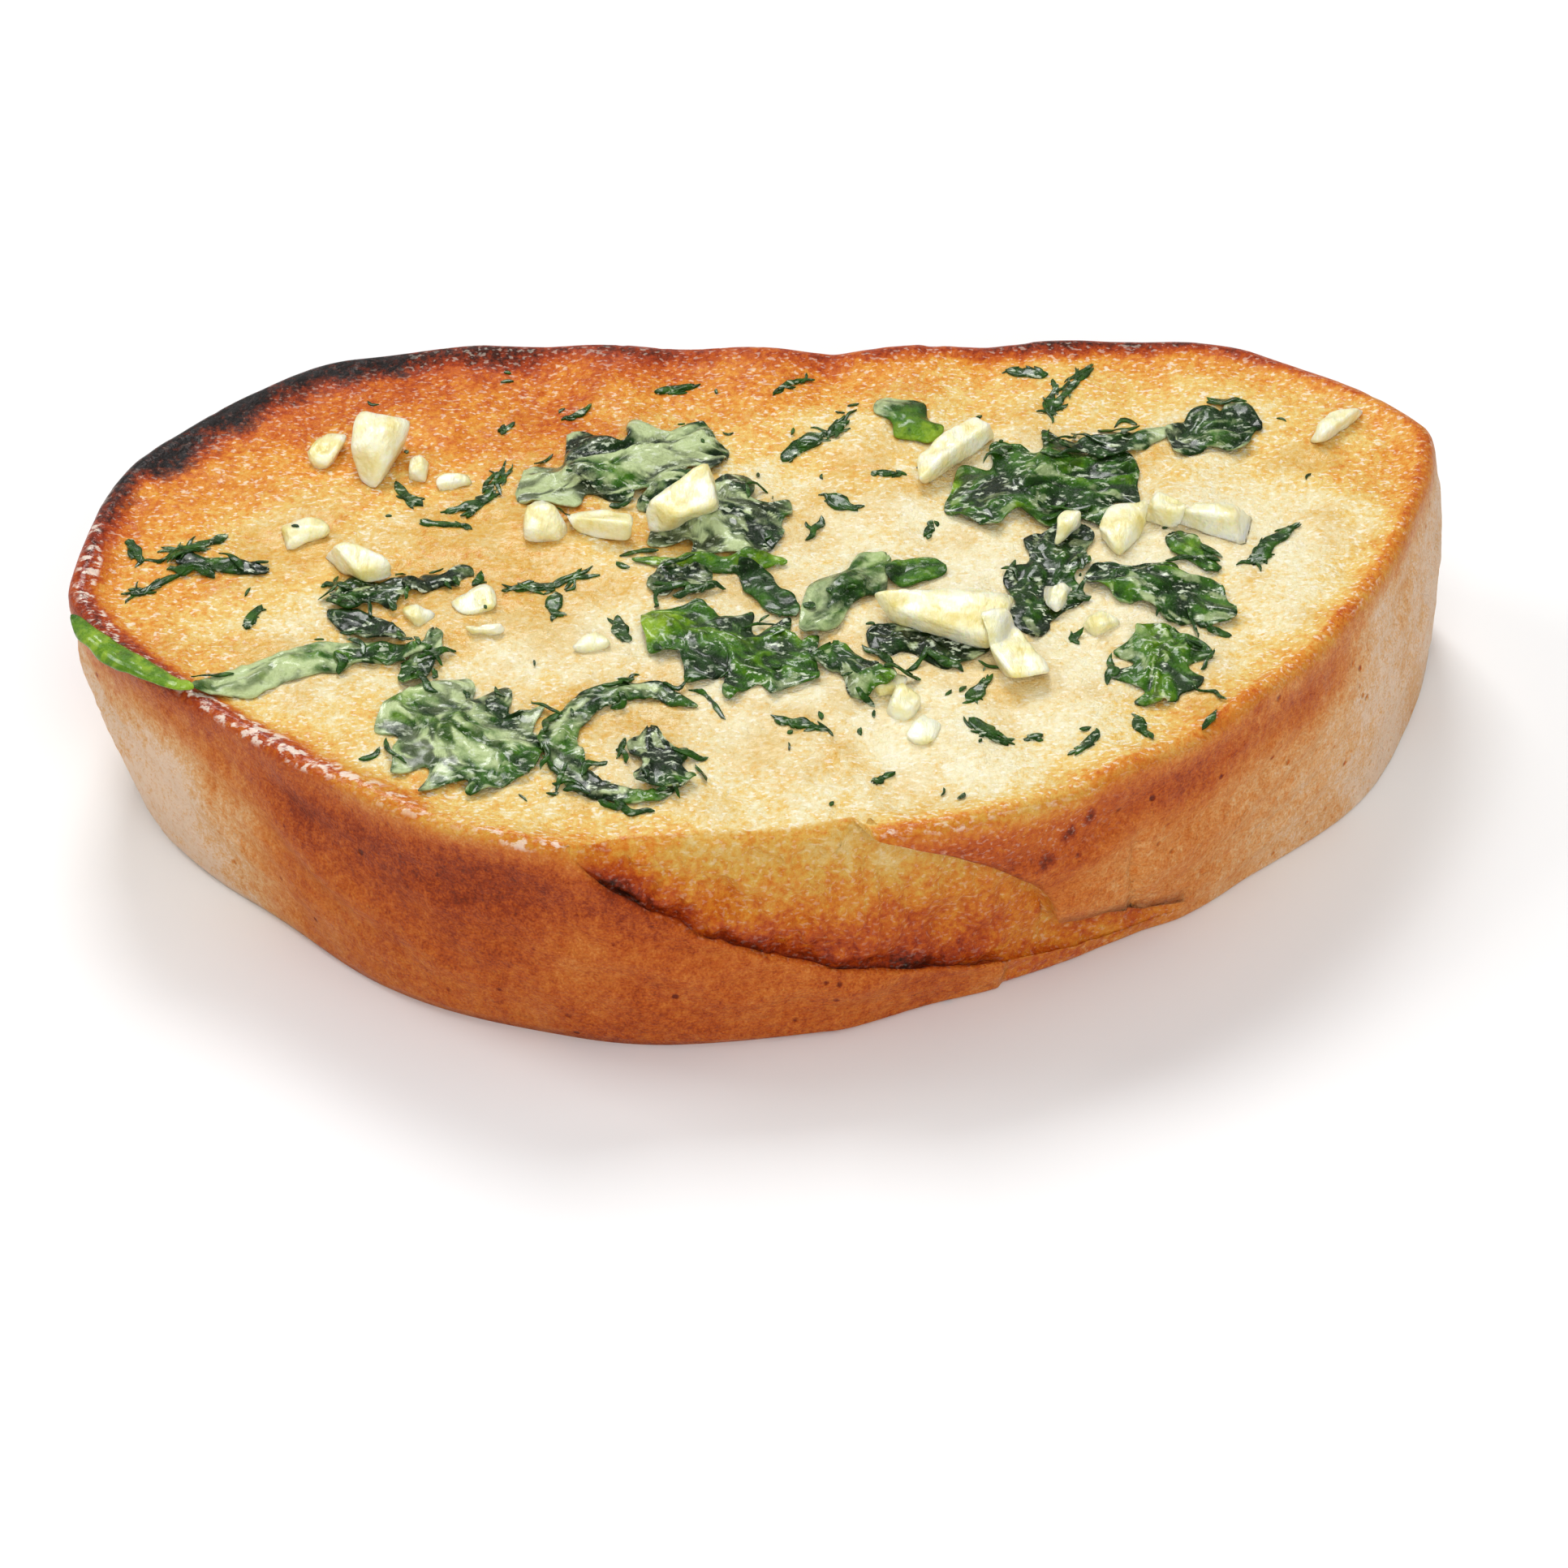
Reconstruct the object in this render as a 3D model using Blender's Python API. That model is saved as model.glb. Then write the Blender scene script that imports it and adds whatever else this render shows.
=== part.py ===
"""Garlic bread: one thick toasted slice of an oval loaf, with wilted herbs and chopped garlic on it.

Metres, +Z up. The slice lies on its lower cut face, at z = 0, with its origin at the middle of that
face. X runs across the loaf. +Y is the loaf's flat base crust, and -Y is its domed top crust, where
the baker's score opened into a torn band between a lower lip and an upper ear.
The named values and tables below are in millimetres and degrees, and MM turns lengths into metres.
Their plan is measured from a point near the slice's middle, and new_object moves it by PLAN_MIDDLE.
"""

import math
from typing import NamedTuple

import bmesh
import bpy
import numpy as np

MM = 0.001
PLAN_MIDDLE = (1.05, 0.03, 0.0)  # the middle of the outline in the plan of the tables below

# The slice.
THICKNESS = 24.5
# The rim of the upper face at its outermost line, anticlockwise from its left end.
RIM_POINTS = [
    (-66.3, 2.5), (-65.4, -3.5), (-60.0, -11.6), (-46.0, -24.0), (-30.5, -35.2), (-17.0, -39.8),
    (-3.0, -39.9), (10.8, -37.9), (25.4, -33.4), (42.4, -22.3), (55.5, -7.7), (63.6, 8.6), (67.1, 21.8),
    (65.1, 28.0), (55.3, 35.9), (42.2, 40.4), (9.2, 39.3), (-19.4, 39.8), (-38.7, 38.2), (-49.8, 32.3),
    (-62.4, 18.8),
]  # fmt: skip
EDGE_ROUND = 1.6  # radius of the toasted edge between face and crust
CRUST_BAND = 5.0  # width of the crust where the face cuts it
CRUST_STAND = 0.9  # how far that crust stands over the crumb
BULGE = 0.9  # swell of the crust half way down
BASE_ROUND = 0.8
# How far the lower face's edge lies inside the rim, by heading from the middle. The loaf narrows
# towards its left end and widens towards its right one.
BASE_INSETS = [
    (0, -1.8), (30, -0.6), (60, 0.6), (90, 0.8), (120, 1.3), (150, 2.6), (180, 5.2), (200, 2.2),
    (220, 0.5), (240, 1.3), (260, 0.4), (280, 0.8), (300, 2.9), (320, 2.5), (340, 1.6), (360, -1.8),
]  # fmt: skip
FACE_SWELL = 0.3  # height of the crumb's slow waves
FACE_SWELL_SIZE = 16.0
WALL_SWELL = 0.4  # depth of the crust's slow waves
WALL_SWELL_SIZE = 11.0

# The baker's score. Its drops are measured down from the rim.
LIP_START = -17.5  # where the lower lip leaves the rim, along X
LIP_DROP = 28.0
LIP_RUN = 32.0  # length over which the lip falls away from the rim
LIP_LOWEST = 22.6
EAR_START = 10.0  # where the upper ear leaves the rim, along X
EAR_END = 29.5
EAR_DROP = 17.0
EAR_FALL = 0.36  # how fast the ear goes on falling past EAR_END
SCORE_END = 43.0
SCORE_CLOSE = 4.0  # length over which the score grows shallow before its end
FLAP_END = 24.6  # where the crust below the lip breaks off, along X
FLAP_BREAK = 1.2  # length over which it breaks off
EAR_DEPTH = 2.8  # how deep the torn band lies under the crust at the ear
LIP_DEPTH = 1.4  # and at the lip
SCORE_COLUMNS = 34
SCORE_ROWS = 4
ABOVE_RIM = 3.0  # how far the cutter of the score stands over the rim and out of the crust
MOUTH_EASE = 4.0  # length over which the crust's band fades into the score's mouth

# The slice's mesh: squares along each side of the face's grid, and rings down the crust.
FACE_SQUARES = 34
WALL_RINGS = 7

# What lies on the slice.
GAP = 0.3  # clearance under each loose piece
LEAF_THICKNESS = 0.6
LEAF_SQUARE = 1.8  # size of a leaf's squares
LEAF_BRIDGE = 1.5  # how far round a point the hollows under a leaf are bridged
LOBE_DEPTH = 0.3  # how far a leaf's edge goes in and out, as a share of its half width
LOBE_SWEEP = 0.22  # how far its lobes point towards its tip, as a share of its half length
CHUNK_KEPT = 0.5  # how much of a chopped piece stays above ground that rises into it
GROUND_STEP = 0.5
GROUND_REACH = (70.0, 44.0)  # half the area that the ground map covers
SLOPE_OFF_RIM = 0.8  # fall of the ground map outside the rim


class Leaf(NamedTuple):
    """A flat herb leaf, or a strip of one, whose spine turns by bend along its length."""

    name: str
    x: float
    y: float
    length: float
    width: float
    heading: float
    bend: float = 0.0
    lobes: int = 0
    lift: float = 0.4


class Chunk(NamedTuple):
    """A chopped piece of garlic: sizes along its heading, across it and up; taper narrows its start."""

    name: str
    x: float
    y: float
    length: float
    width: float
    height: float
    heading: float
    taper: float = 0.0


# From the lowest to the highest, as they lie on each other.
LEAVES = [
    Leaf("leaf_back_left", -13.5, 19.3, 22.0, 10.0, 24, bend=-35, lobes=4, lift=1.2),
    Leaf("leaf_middle", -4.0, 11.0, 15.5, 11.0, -38, lobes=3, lift=0.9),
    Leaf("leaf_middle_stem", -4.5, 3.9, 15.0, 1.9, -3, bend=8),
    Leaf("leaf_crinkled", -7.4, 0.9, 6.6, 4.0, 12, lobes=2),
    Leaf("leaf_folded", 1.2, -0.6, 9.0, 3.2, -56),
    Leaf("leaf_centre", -2.4, -9.2, 18.0, 10.5, -28, lobes=4, lift=0.9),
    Leaf("leaf_low", 9.4, -12.8, 9.5, 4.4, -48, bend=30, lobes=2),
    Leaf("leaf_low_right", 16.6, -8.2, 12.5, 4.8, -10, lobes=2),
    Leaf("leaf_pale", 8.4, -1.0, 15.5, 5.0, 57, bend=-12, lobes=2, lift=1.2),
    Leaf("leaf_tip", 15.4, 2.6, 6.5, 3.8, 20),
    Leaf("leaf_back_right", 28.0, 16.3, 20.5, 12.5, 20, lobes=4, lift=1.2),
    Leaf("leaf_strip", 35.3, 22.9, 12.5, 3.0, 20, bend=10),
    Leaf("leaf_arrow", 45.0, 25.0, 10.5, 6.0, 22, lobes=2),
    Leaf("leaf_dark", 28.0, 2.0, 18.0, 6.5, 74, bend=-30, lobes=3),
    Leaf("leaf_curl", 38.8, -0.6, 14.5, 7.0, -24, lobes=3, lift=1.0),
    Leaf("leaf_right", 38.4, -11.2, 11.5, 8.0, -86, lobes=3, lift=0.6),
    Leaf("leaf_small_right", 42.2, 5.7, 7.5, 2.8, -52),
    Leaf("leaf_front_left", -27.3, -22.0, 17.5, 13.5, -42, lobes=4, lift=0.9),
    Leaf("leaf_front_stem", -31.2, -11.0, 8.0, 2.8, 72, bend=20),
    Leaf("leaf_ring", -18.2, -22.6, 33.0, 3.0, -95, bend=250),
    Leaf("leaf_ring_knot", -8.6, -26.2, 9.0, 5.4, -70, lobes=2, lift=0.6),
    Leaf("leaf_blade_pale", -44.5, -12.2, 19.0, 4.2, 24, bend=-10, lift=0.6),
    Leaf("leaf_blade_green", -59.8, -11.8, 17.5, 2.4, -44, bend=28, lift=0.3),
    Leaf("leaf_tail", -35.6, -9.9, 9.0, 2.6, 8, bend=-20),
    Leaf("leaf_left", -51.6, 3.3, 9.5, 2.2, -8, bend=20),
    Leaf("leaf_left_low", -37.4, -5.4, 8.5, 3.2, -32),
    Leaf("leaf_left_dark", -37.2, -1.0, 8.5, 3.8, 15, lobes=2),
    Leaf("leaf_left_chain", -30.4, 1.3, 8.0, 2.4, 26, lobes=2),
    Leaf("leaf_back", 15.0, 27.0, 8.5, 4.6, -50, lobes=2, lift=0.8),
]

# The pieces of garlic that are too large to be crumbs, or that lie on a leaf.
GARLIC = [
    Chunk("garlic_back_left", -37.4, 20.6, 7.0, 6.4, 5.6, 70, taper=0.3),
    Chunk("garlic_left", -38.5, 3.0, 7.2, 4.0, 3.6, -45, taper=0.3),
    Chunk("garlic_strip_left", -15.2, 9.2, 7.4, 4.0, 3.2, -8, taper=0.35),
    Chunk("garlic_middle", -7.2, 10.6, 8.4, 6.4, 4.0, 25, taper=0.3),
    Chunk("garlic_back", 19.2, 21.0, 11.5, 4.4, 3.8, 50, taper=0.3),
    Chunk("garlic_far_right", 57.0, 25.6, 7.2, 2.6, 2.6, 50, taper=0.3),
    Chunk("garlic_large", 17.9, -5.4, 14.5, 10.6, 4.6, -10, taper=0.7),
    Chunk("garlic_lobe", 24.4, -10.6, 8.4, 5.4, 3.2, -72, taper=0.35),
    Chunk("garlic_right", 44.6, 10.4, 6.4, 4.8, 3.4, -14, taper=0.4),
    Chunk("garlic_between", 39.7, 11.2, 4.2, 3.6, 3.2, -30, taper=0.3),
    Chunk("garlic_ridged", 35.4, 8.8, 6.4, 4.8, 3.0, 75, taper=0.2),
    Chunk("garlic_on_leaf", 30.1, 8.6, 3.6, 3.0, 2.4, 60, taper=0.5),
    Chunk("garlic_on_dark_leaf", 28.9, -1.6, 4.6, 2.6, 2.0, 75, taper=0.4),
]

# Garlic crumbs fused to the slice: x, y, length, width, height and heading.
GARLIC_CRUMBS = [
    (-42.4, 21.6, 6.0, 2.6, 2.6, 68), (-33.2, 18.6, 3.0, 2.2, 2.2, 80), (-43.8, 8.8, 5.0, 4.0, 1.8, 10),
    (-20.6, 8.6, 4.6, 3.6, 3.0, 5), (-29.8, 17.2, 4.0, 2.2, 1.2, 20), (-26.6, -2.4, 4.6, 3.4, 1.2, 30),
    (-15.6, -8.6, 3.4, 2.6, 1.6, 40), (-32.4, -4.2, 3.0, 2.4, 1.6, -60), (-25.6, -6.6, 4.4, 1.2, 1.2, 5),
    (33.0, -5.4, 3.4, 3.0, 1.8, 40), (12.4, -14.8, 3.8, 3.2, 2.0, 20), (13.9, -18.0, 3.8, 3.2, 2.4, 70),
    (15.9, -21.6, 4.4, 3.0, 1.2, 60),
]  # fmt: skip

# Herb slivers fused to the slice: x, y, length, width, heading and bend.
SLIVERS = [
    (-8.2, 32.4, 4.2, 1.0, 18, 20), (3.6, 33.0, 4.0, 0.8, 42, 0), (27.0, 35.0, 4.4, 1.4, -14, 30),
    (30.8, 31.6, 8.0, 1.0, 62, 20), (29.4, 30.2, 5.0, 0.8, 84, -30), (5.7, 24.0, 9.0, 1.8, 42, -20),
    (8.2, 13.6, 4.4, 1.4, -38, 0), (12.6, 18.2, 2.6, 0.7, -6, 0), (49.9, 7.2, 7.4, 1.8, 58, -20),
    (-30.4, 10.2, 4.8, 1.0, -8, 20), (-34.2, 15.0, 4.8, 1.2, -58, 30), (-26.4, 15.0, 8.0, 1.0, 68, 10),
    (-28.2, 13.4, 5.0, 0.9, 30, 0), (-19.2, 1.2, 8.6, 0.7, 14, -12), (-19.2, -2.2, 4.2, 1.2, -84, 0),
    (-12.9, -6.0, 4.4, 1.3, -78, 20), (-48.0, -4.4, 3.8, 1.2, 70, 0), (-60.2, 5.8, 4.0, 1.4, -68, 0),
    (-54.6, 6.4, 8.0, 1.1, 32, 0), (-57.4, 1.2, 6.4, 0.9, 34, 0), (4.4, -20.6, 5.4, 1.0, -14, 0),
    (21.8, -21.6, 5.2, 1.6, -42, 0), (21.0, -15.4, 4.2, 1.2, 68, 10), (31.0, -23.4, 4.0, 0.9, 54, 0),
    (12.0, -28.0, 2.6, 0.6, 40, 0), (26.2, -22.2, 1.6, 0.9, 10, 0), (-12.6, -14.4, 3.4, 0.6, 40, 0),
    (-24.8, 26.2, 2.2, 0.7, 40, 0), (-17.6, 28.4, 3.0, 0.6, 34, 0), (42.6, -20.0, 3.0, 0.7, 60, 0),
    (36.2, -20.6, 3.2, 1.0, -70, 20), (16.8, 9.4, 2.4, 0.6, 62, 0),
]  # fmt: skip
SLIVER_STAND = 0.5  # how far a sliver stands out of the crumb
SLIVER_SINK = 0.5
SLIVER_STATIONS = np.array([-1.0, -0.35, 0.35, 1.0])  # along half its length
SLIVER_TAPER = np.array([0.3, 1.0, 0.8, 0.2])

COLOURS = {
    "bread": ((0.78, 0.42, 0.14), 0.5),
    "leaf": ((0.03, 0.10, 0.015), 0.3),
    "garlic": ((0.86, 0.78, 0.42), 0.4),
}


def smooth_step(share):
    """0 below 0 and 1 above 1, with a smooth rise between them."""
    share = np.clip(share, 0.0, 1.0)
    return share * share * (3.0 - 2.0 * share)


def waves(x, y, size, seed):
    """Soft uneven waves between about -1 and 1, as a sum of eight seeded cosines of about that size."""
    draw = np.random.default_rng(seed)
    total = np.zeros_like(np.asarray(x, float))
    for heading, stretch, phase in draw.random((8, 3)) * (2 * math.pi, 0.8, 2 * math.pi):
        pitch = 2 * math.pi / (size * (0.7 + stretch))
        total += np.cos(pitch * (x * math.cos(heading) + y * math.sin(heading)) + phase)
    return total / 3.5


def rim_curve(steps=12):
    """The rim as a closed smooth curve through RIM_POINTS: a cubic between each two, of steps points."""
    points = np.array(RIM_POINTS)
    before, after, beyond = (np.roll(points, -shift, axis=0) for shift in (-1, 1, 2))
    t = np.linspace(0.0, 1.0, steps, endpoint=False)[:, None, None]
    start, end = (after - before) / 2, (beyond - points) / 2
    curve = (1 + 2 * t) * (1 - t) ** 2 * points + t**2 * (3 - 2 * t) * after
    curve = curve + t * (1 - t) ** 2 * start - t**2 * (1 - t) * end
    return curve.transpose(1, 0, 2).reshape(-1, 2)


RIM_CURVE = rim_curve()


def rim_radius(angle):
    """Distance from the middle to the rim at these angles."""
    angles = np.arctan2(RIM_CURVE[:, 1], RIM_CURVE[:, 0])
    radii = np.hypot(RIM_CURVE[:, 0], RIM_CURVE[:, 1])
    return np.interp(angle, angles, radii, period=2 * math.pi)


def score_lip(x):
    """Drop of the score's lower lip at a place along X: it falls away from the rim, ever more slowly."""
    return np.minimum(LIP_DROP * (1 - np.exp(-np.maximum(x - LIP_START, 0.0) / LIP_RUN)), LIP_LOWEST)


def score_ear(x):
    """Drop of the score's upper ear: above the rim before EAR_START, ever more steeply down, then slowly."""
    share = np.clip((x - EAR_START) / (EAR_END - EAR_START), 0.0, 1.0)
    fallen = EAR_DROP * (1 - np.sqrt(1 - share)) + EAR_FALL * np.maximum(x - EAR_END, 0.0)
    return fallen - np.clip(EAR_START - x, 0.0, ABOVE_RIM)


def in_mouth(x, y):
    """How far the score has opened the rim here: 0 outside the mouth between lip and ear, and 1 in it."""
    opened = smooth_step((x - LIP_START) / MOUTH_EASE) * smooth_step((EAR_START - x) / MOUTH_EASE)
    return opened * (y < 0)


def face_height(x, y):
    """Height of the upper face: the waves of the crumb, sunk inside the band of crust round it."""
    inside = rim_radius(np.arctan2(y, x)) - np.hypot(x, y)
    crumb = smooth_step(inside / CRUST_BAND)
    crumb = np.maximum(crumb, in_mouth(x, y))
    return THICKNESS - CRUST_STAND * crumb + FACE_SWELL * waves(x, y, FACE_SWELL_SIZE, 3)


def base_inset(angle):
    """The lower edge's inset at these angles, eased from each heading of BASE_INSETS to the next."""
    headings, insets = np.array(BASE_INSETS).T
    turned = np.degrees(angle) % 360
    after = np.clip(np.searchsorted(headings, turned, side="right"), 1, len(headings) - 1)
    share = (turned - headings[after - 1]) / (headings[after] - headings[after - 1])
    return insets[after - 1] + (insets[after] - insets[after - 1]) * smooth_step(share)


def wall_radius(angle, drop):
    """Distance from the middle to the crust at an angle and a drop below the rim."""
    rim = rim_radius(angle)
    share = drop / THICKNESS
    radius = rim - base_inset(angle) * share + BULGE * np.sin(math.pi * share)
    top = np.clip(1 - drop / EDGE_ROUND, 0.0, 1.0)
    base = np.clip(1 - (THICKNESS - drop) / BASE_ROUND, 0.0, 1.0)
    radius -= EDGE_ROUND * (1 - np.sqrt(1 - top**2)) + BASE_ROUND * (1 - np.sqrt(1 - base**2))
    swell = waves(rim * np.cos(angle), rim * np.sin(angle) + 2 * drop, WALL_SWELL_SIZE, 5)
    return radius + WALL_SWELL * swell * np.sin(math.pi * share)


def disc_grid(squares):
    """A square grid bent into a disc, so that each square ring becomes a round one.

    Returns the share of the radius and the angle of each point, row by row.
    """
    side = np.linspace(-1.0, 1.0, squares + 1)
    across, up = (a.ravel() for a in np.meshgrid(side, side))
    wide = np.abs(across) >= np.abs(up)
    share = np.where(wide, np.abs(across), np.abs(up))
    safe = np.where(share == 0, 1.0, share)
    along = np.where(wide, up * np.sign(across), -across * np.sign(up)) / safe
    start = np.where(wide, np.where(across < 0, math.pi, 0.0), np.where(up < 0, 1.5, 0.5) * math.pi)
    return share, start + along * math.pi / 4


def grid_edge(squares):
    """The grid's outermost points, anticlockwise from its lower left corner."""
    index = np.arange((squares + 1) ** 2).reshape(squares + 1, -1)
    return np.concatenate([index[0, :-1], index[:-1, -1], index[-1, :0:-1], index[:0:-1, 0]])


def halved(quads):
    """Two triangles for each quad, split from its first corner to its third."""
    quads = np.asarray(quads)
    return np.concatenate([quads[:, [0, 1, 2]], quads[:, [0, 2, 3]]])


def grid_faces(index):
    """The triangles of a grid of point numbers, anticlockwise where rows go up and columns go right."""
    corners = (index[:-1, :-1], index[:-1, 1:], index[1:, 1:], index[1:, :-1])
    return halved(np.stack([c.ravel() for c in corners], axis=1))


def shell_faces(index):
    """The triangles of a closed shell: a grid, the same grid turned over, and the wall between them.

    The turned grid's points come first in the shell, and the other grid's follow them.
    """
    faces = grid_faces(index)
    border = np.concatenate([index[0, :-1], index[:-1, -1], index[-1, :0:-1], index[:0:-1, 0]])
    after = np.roll(border, -1)
    wall = halved(np.stack([border, after, after + index.size, border + index.size], axis=1))
    return np.concatenate([faces[:, ::-1], faces + index.size, wall])


def new_object(name, points, faces, finish):
    """A closed mesh object from points in the plan's millimetres."""
    mesh = bpy.data.meshes.new(name)
    places = (np.asarray(points) - PLAN_MIDDLE) * MM
    mesh.from_pydata(places.tolist(), [], [list(map(int, f)) for f in faces])
    mesh.materials.append(finish)
    mesh.shade_smooth()
    made = bpy.data.objects.new(name, mesh)
    bpy.context.collection.objects.link(made)
    return made


def new_finish(name):
    """A Principled material in this sub-part's colour and roughness."""
    colour, roughness = COLOURS[name]
    finish = bpy.data.materials.new(name)
    finish.use_nodes = True
    shader = finish.node_tree.nodes["Principled BSDF"]
    shader.inputs["Base Color"].default_value = (*colour, 1.0)
    shader.inputs["Roughness"].default_value = roughness
    shader.inputs["Metallic"].default_value = 0.0
    return finish


def slice_mesh():
    """The bare slice: the face's grid, rings down the crust from its edge, and a flat base."""
    share, angle = disc_grid(FACE_SQUARES)
    edge = grid_edge(FACE_SQUARES)
    reach = wall_radius(angle, np.zeros_like(angle)) * share
    x, y = reach * np.cos(angle), reach * np.sin(angle)
    points = [np.stack([x, y, face_height(x, y)], axis=1)]
    rim_height = points[0][edge, 2]
    rounding = EDGE_ROUND * np.array([0.25, 0.9])
    crust = np.linspace(EDGE_ROUND * 1.8, THICKNESS - BASE_ROUND, WALL_RINGS)
    drops = np.concatenate([rounding, crust, [THICKNESS]])
    for drop in drops:
        radius = wall_radius(angle[edge], np.full(len(edge), drop))
        height = rim_height * (1 - drop / THICKNESS)
        x, y = radius * np.cos(angle[edge]), radius * np.sin(angle[edge])
        points.append(np.stack([x, y, height], axis=1))
    points.append(np.zeros((1, 3)))
    face_points, around = len(share), len(edge)
    index = np.arange(face_points).reshape(FACE_SQUARES + 1, -1)
    rings = face_points + np.arange(len(drops) * around).reshape(len(drops), around)
    rings = np.concatenate([edge[None, :], rings])
    rings = np.concatenate([rings, rings[:, :1]], axis=1)
    centre = np.full(around, face_points + len(drops) * around)
    fan = np.stack([rings[-1, 1:], rings[-1, :-1], centre], axis=1)
    return np.concatenate(points), np.concatenate([grid_faces(index), grid_faces(rings[::-1]), fan])


def score_cutter():
    """What the score leaves open: a curved slab between its lip and its ear, sunk deepest under the ear.

    Past FLAP_END there is no lip, and the slab goes down through the slice's lower edge.
    """
    domed = np.linspace(1.15 * math.pi, 1.95 * math.pi, 300)
    along = np.linspace(LIP_START, SCORE_END, SCORE_COLUMNS)
    angle = np.interp(along, rim_radius(domed) * np.cos(domed), domed)
    share = np.linspace(0.0, 1.0, SCORE_ROWS + 1)[:, None]
    lip = score_lip(along)
    lip = lip + (THICKNESS + ABOVE_RIM - lip) * smooth_step((along - FLAP_END) / FLAP_BREAK)
    drop = lip * share + score_ear(along) * (1 - share)
    on_wall = wall_radius(angle + 0 * drop, np.clip(drop, EDGE_ROUND, THICKNESS - BASE_ROUND))
    shallow = 1 - 0.45 * smooth_step((along - EAR_END) / 8.0)
    shallow = shallow * (0.4 + 0.6 * smooth_step((SCORE_END - along) / SCORE_CLOSE))
    depth = (EAR_DEPTH + (LIP_DEPTH - EAR_DEPTH) * share) * shallow
    points = []
    for radius in (on_wall - depth, on_wall + ABOVE_RIM):
        points.append(np.stack([radius * np.cos(angle), radius * np.sin(angle), THICKNESS - drop], axis=2))
    index = np.arange((SCORE_ROWS + 1) * SCORE_COLUMNS).reshape(SCORE_ROWS + 1, -1)
    return np.concatenate([p.reshape(-1, 3) for p in points]), shell_faces(index)[:, ::-1]


class Ground:
    """A map of how high everything laid so far reaches, in millimetres."""

    def __init__(self):
        reach_x, reach_y = GROUND_REACH
        self.xs = np.arange(-reach_x, reach_x + GROUND_STEP, GROUND_STEP)
        self.ys = np.arange(-reach_y, reach_y + GROUND_STEP, GROUND_STEP)
        x, y = np.meshgrid(self.xs, self.ys)
        outside = np.maximum(np.hypot(x, y) - rim_radius(np.arctan2(y, x)), 0.0)
        self.height = face_height(x, y) - SLOPE_OFF_RIM * outside

    def spread(self, reach):
        """The map with each point raised to the highest one within reach."""
        cells = int(round(reach / GROUND_STEP))
        raised = self.height.copy()
        for up in range(-cells, cells + 1):
            for across in range(-cells, cells + 1):
                if up * up + across * across <= cells * cells:
                    raised = np.maximum(raised, np.roll(self.height, (up, across), (0, 1)))
        return raised

    def under(self, x, y, reach):
        """The height that clears everything within reach of these places."""
        column = np.clip((x - self.xs[0]) / GROUND_STEP, 0, len(self.xs) - 1.001)
        row = np.clip((y - self.ys[0]) / GROUND_STEP, 0, len(self.ys) - 1.001)
        left, low = column.astype(int), row.astype(int)
        raised = self.spread(reach)
        corners = [raised[low + i, left + j] for i in (0, 1) for j in (0, 1)]
        return np.maximum.reduce(corners)

    def pile(self, points):
        """Raises the map to these points."""
        column = np.rint((points[:, 0] - self.xs[0]) / GROUND_STEP).astype(int)
        row = np.rint((points[:, 1] - self.ys[0]) / GROUND_STEP).astype(int)
        for up in (-1, 0, 1):
            for across in (-1, 0, 1):
                np.maximum.at(self.height, (row + up, column + across), points[:, 2])


def spine(x, y, length, heading, bend, along):
    """Places on a spine of even curvature at shares of its half length, and its heading there."""
    turn = math.radians(bend) or 1e-6
    start = math.radians(heading)
    here = start + turn * along / 2
    radius = length / turn
    places = (x + radius * (np.sin(here) - math.sin(start)), y - radius * (np.cos(here) - math.cos(start)))
    return *places, here


def leaf_mesh(leaf, ground):
    """A thin wavy leaf: a grid along its spine and across it, laid on the ground, and the same above."""
    columns = max(int(round(leaf.length / LEAF_SQUARE)), 4)
    rows = max(int(round(leaf.width / LEAF_SQUARE)), 2)
    across, along = np.meshgrid(np.linspace(1, -1, rows + 1), np.linspace(-1, 1, columns + 1))
    across, along = across.ravel(), along.ravel()
    taper = 0.2 + 0.8 * (1 - np.abs(along) ** 2.4) ** 0.6
    lobed = leaf.lobes > 0
    lobe = 1 + lobed * LOBE_DEPTH * np.cos(math.pi * leaf.lobes * (along + 0.25 * np.sign(across)))
    side = across * leaf.width / 2 * taper * lobe
    swept = along + lobed * LOBE_SWEEP * (1 - along**2) * (np.abs(across) - 0.5)
    x, y, here = spine(leaf.x, leaf.y, leaf.length, leaf.heading, leaf.bend, swept)
    x, y = x - side * np.sin(here), y + side * np.cos(here)
    crown = (1 - along**2) * (1 - across**2) * (0.6 + 0.4 * waves(x, y, 6.0, len(leaf.name)))
    low = ground.under(x, y, LEAF_BRIDGE) + GAP + leaf.lift * np.maximum(crown, 0.0)
    lower = np.stack([x, y, low], axis=1)
    upper = lower + (0, 0, LEAF_THICKNESS)
    index = np.arange(len(x)).reshape(columns + 1, rows + 1)
    return np.concatenate([lower, upper]), shell_faces(index), upper


def cut_planes(seed):
    """Directions and distances of the knife cuts that bound a piece whose half sizes are 1."""
    draw = np.random.default_rng(seed)
    box = np.array([(1, 0, 0), (-1, 0, 0), (0, 1, 0), (0, -1, 0), (0, 0, 1), (0, 0, -1)], float)
    corners = draw.normal(size=(7, 3))
    normals = np.concatenate([box + draw.normal(scale=0.22, size=box.shape), corners])
    normals /= np.linalg.norm(normals, axis=1)[:, None]
    return normals, np.concatenate([np.full(6, 0.86), draw.uniform(0.85, 1.05, 7)])


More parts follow.
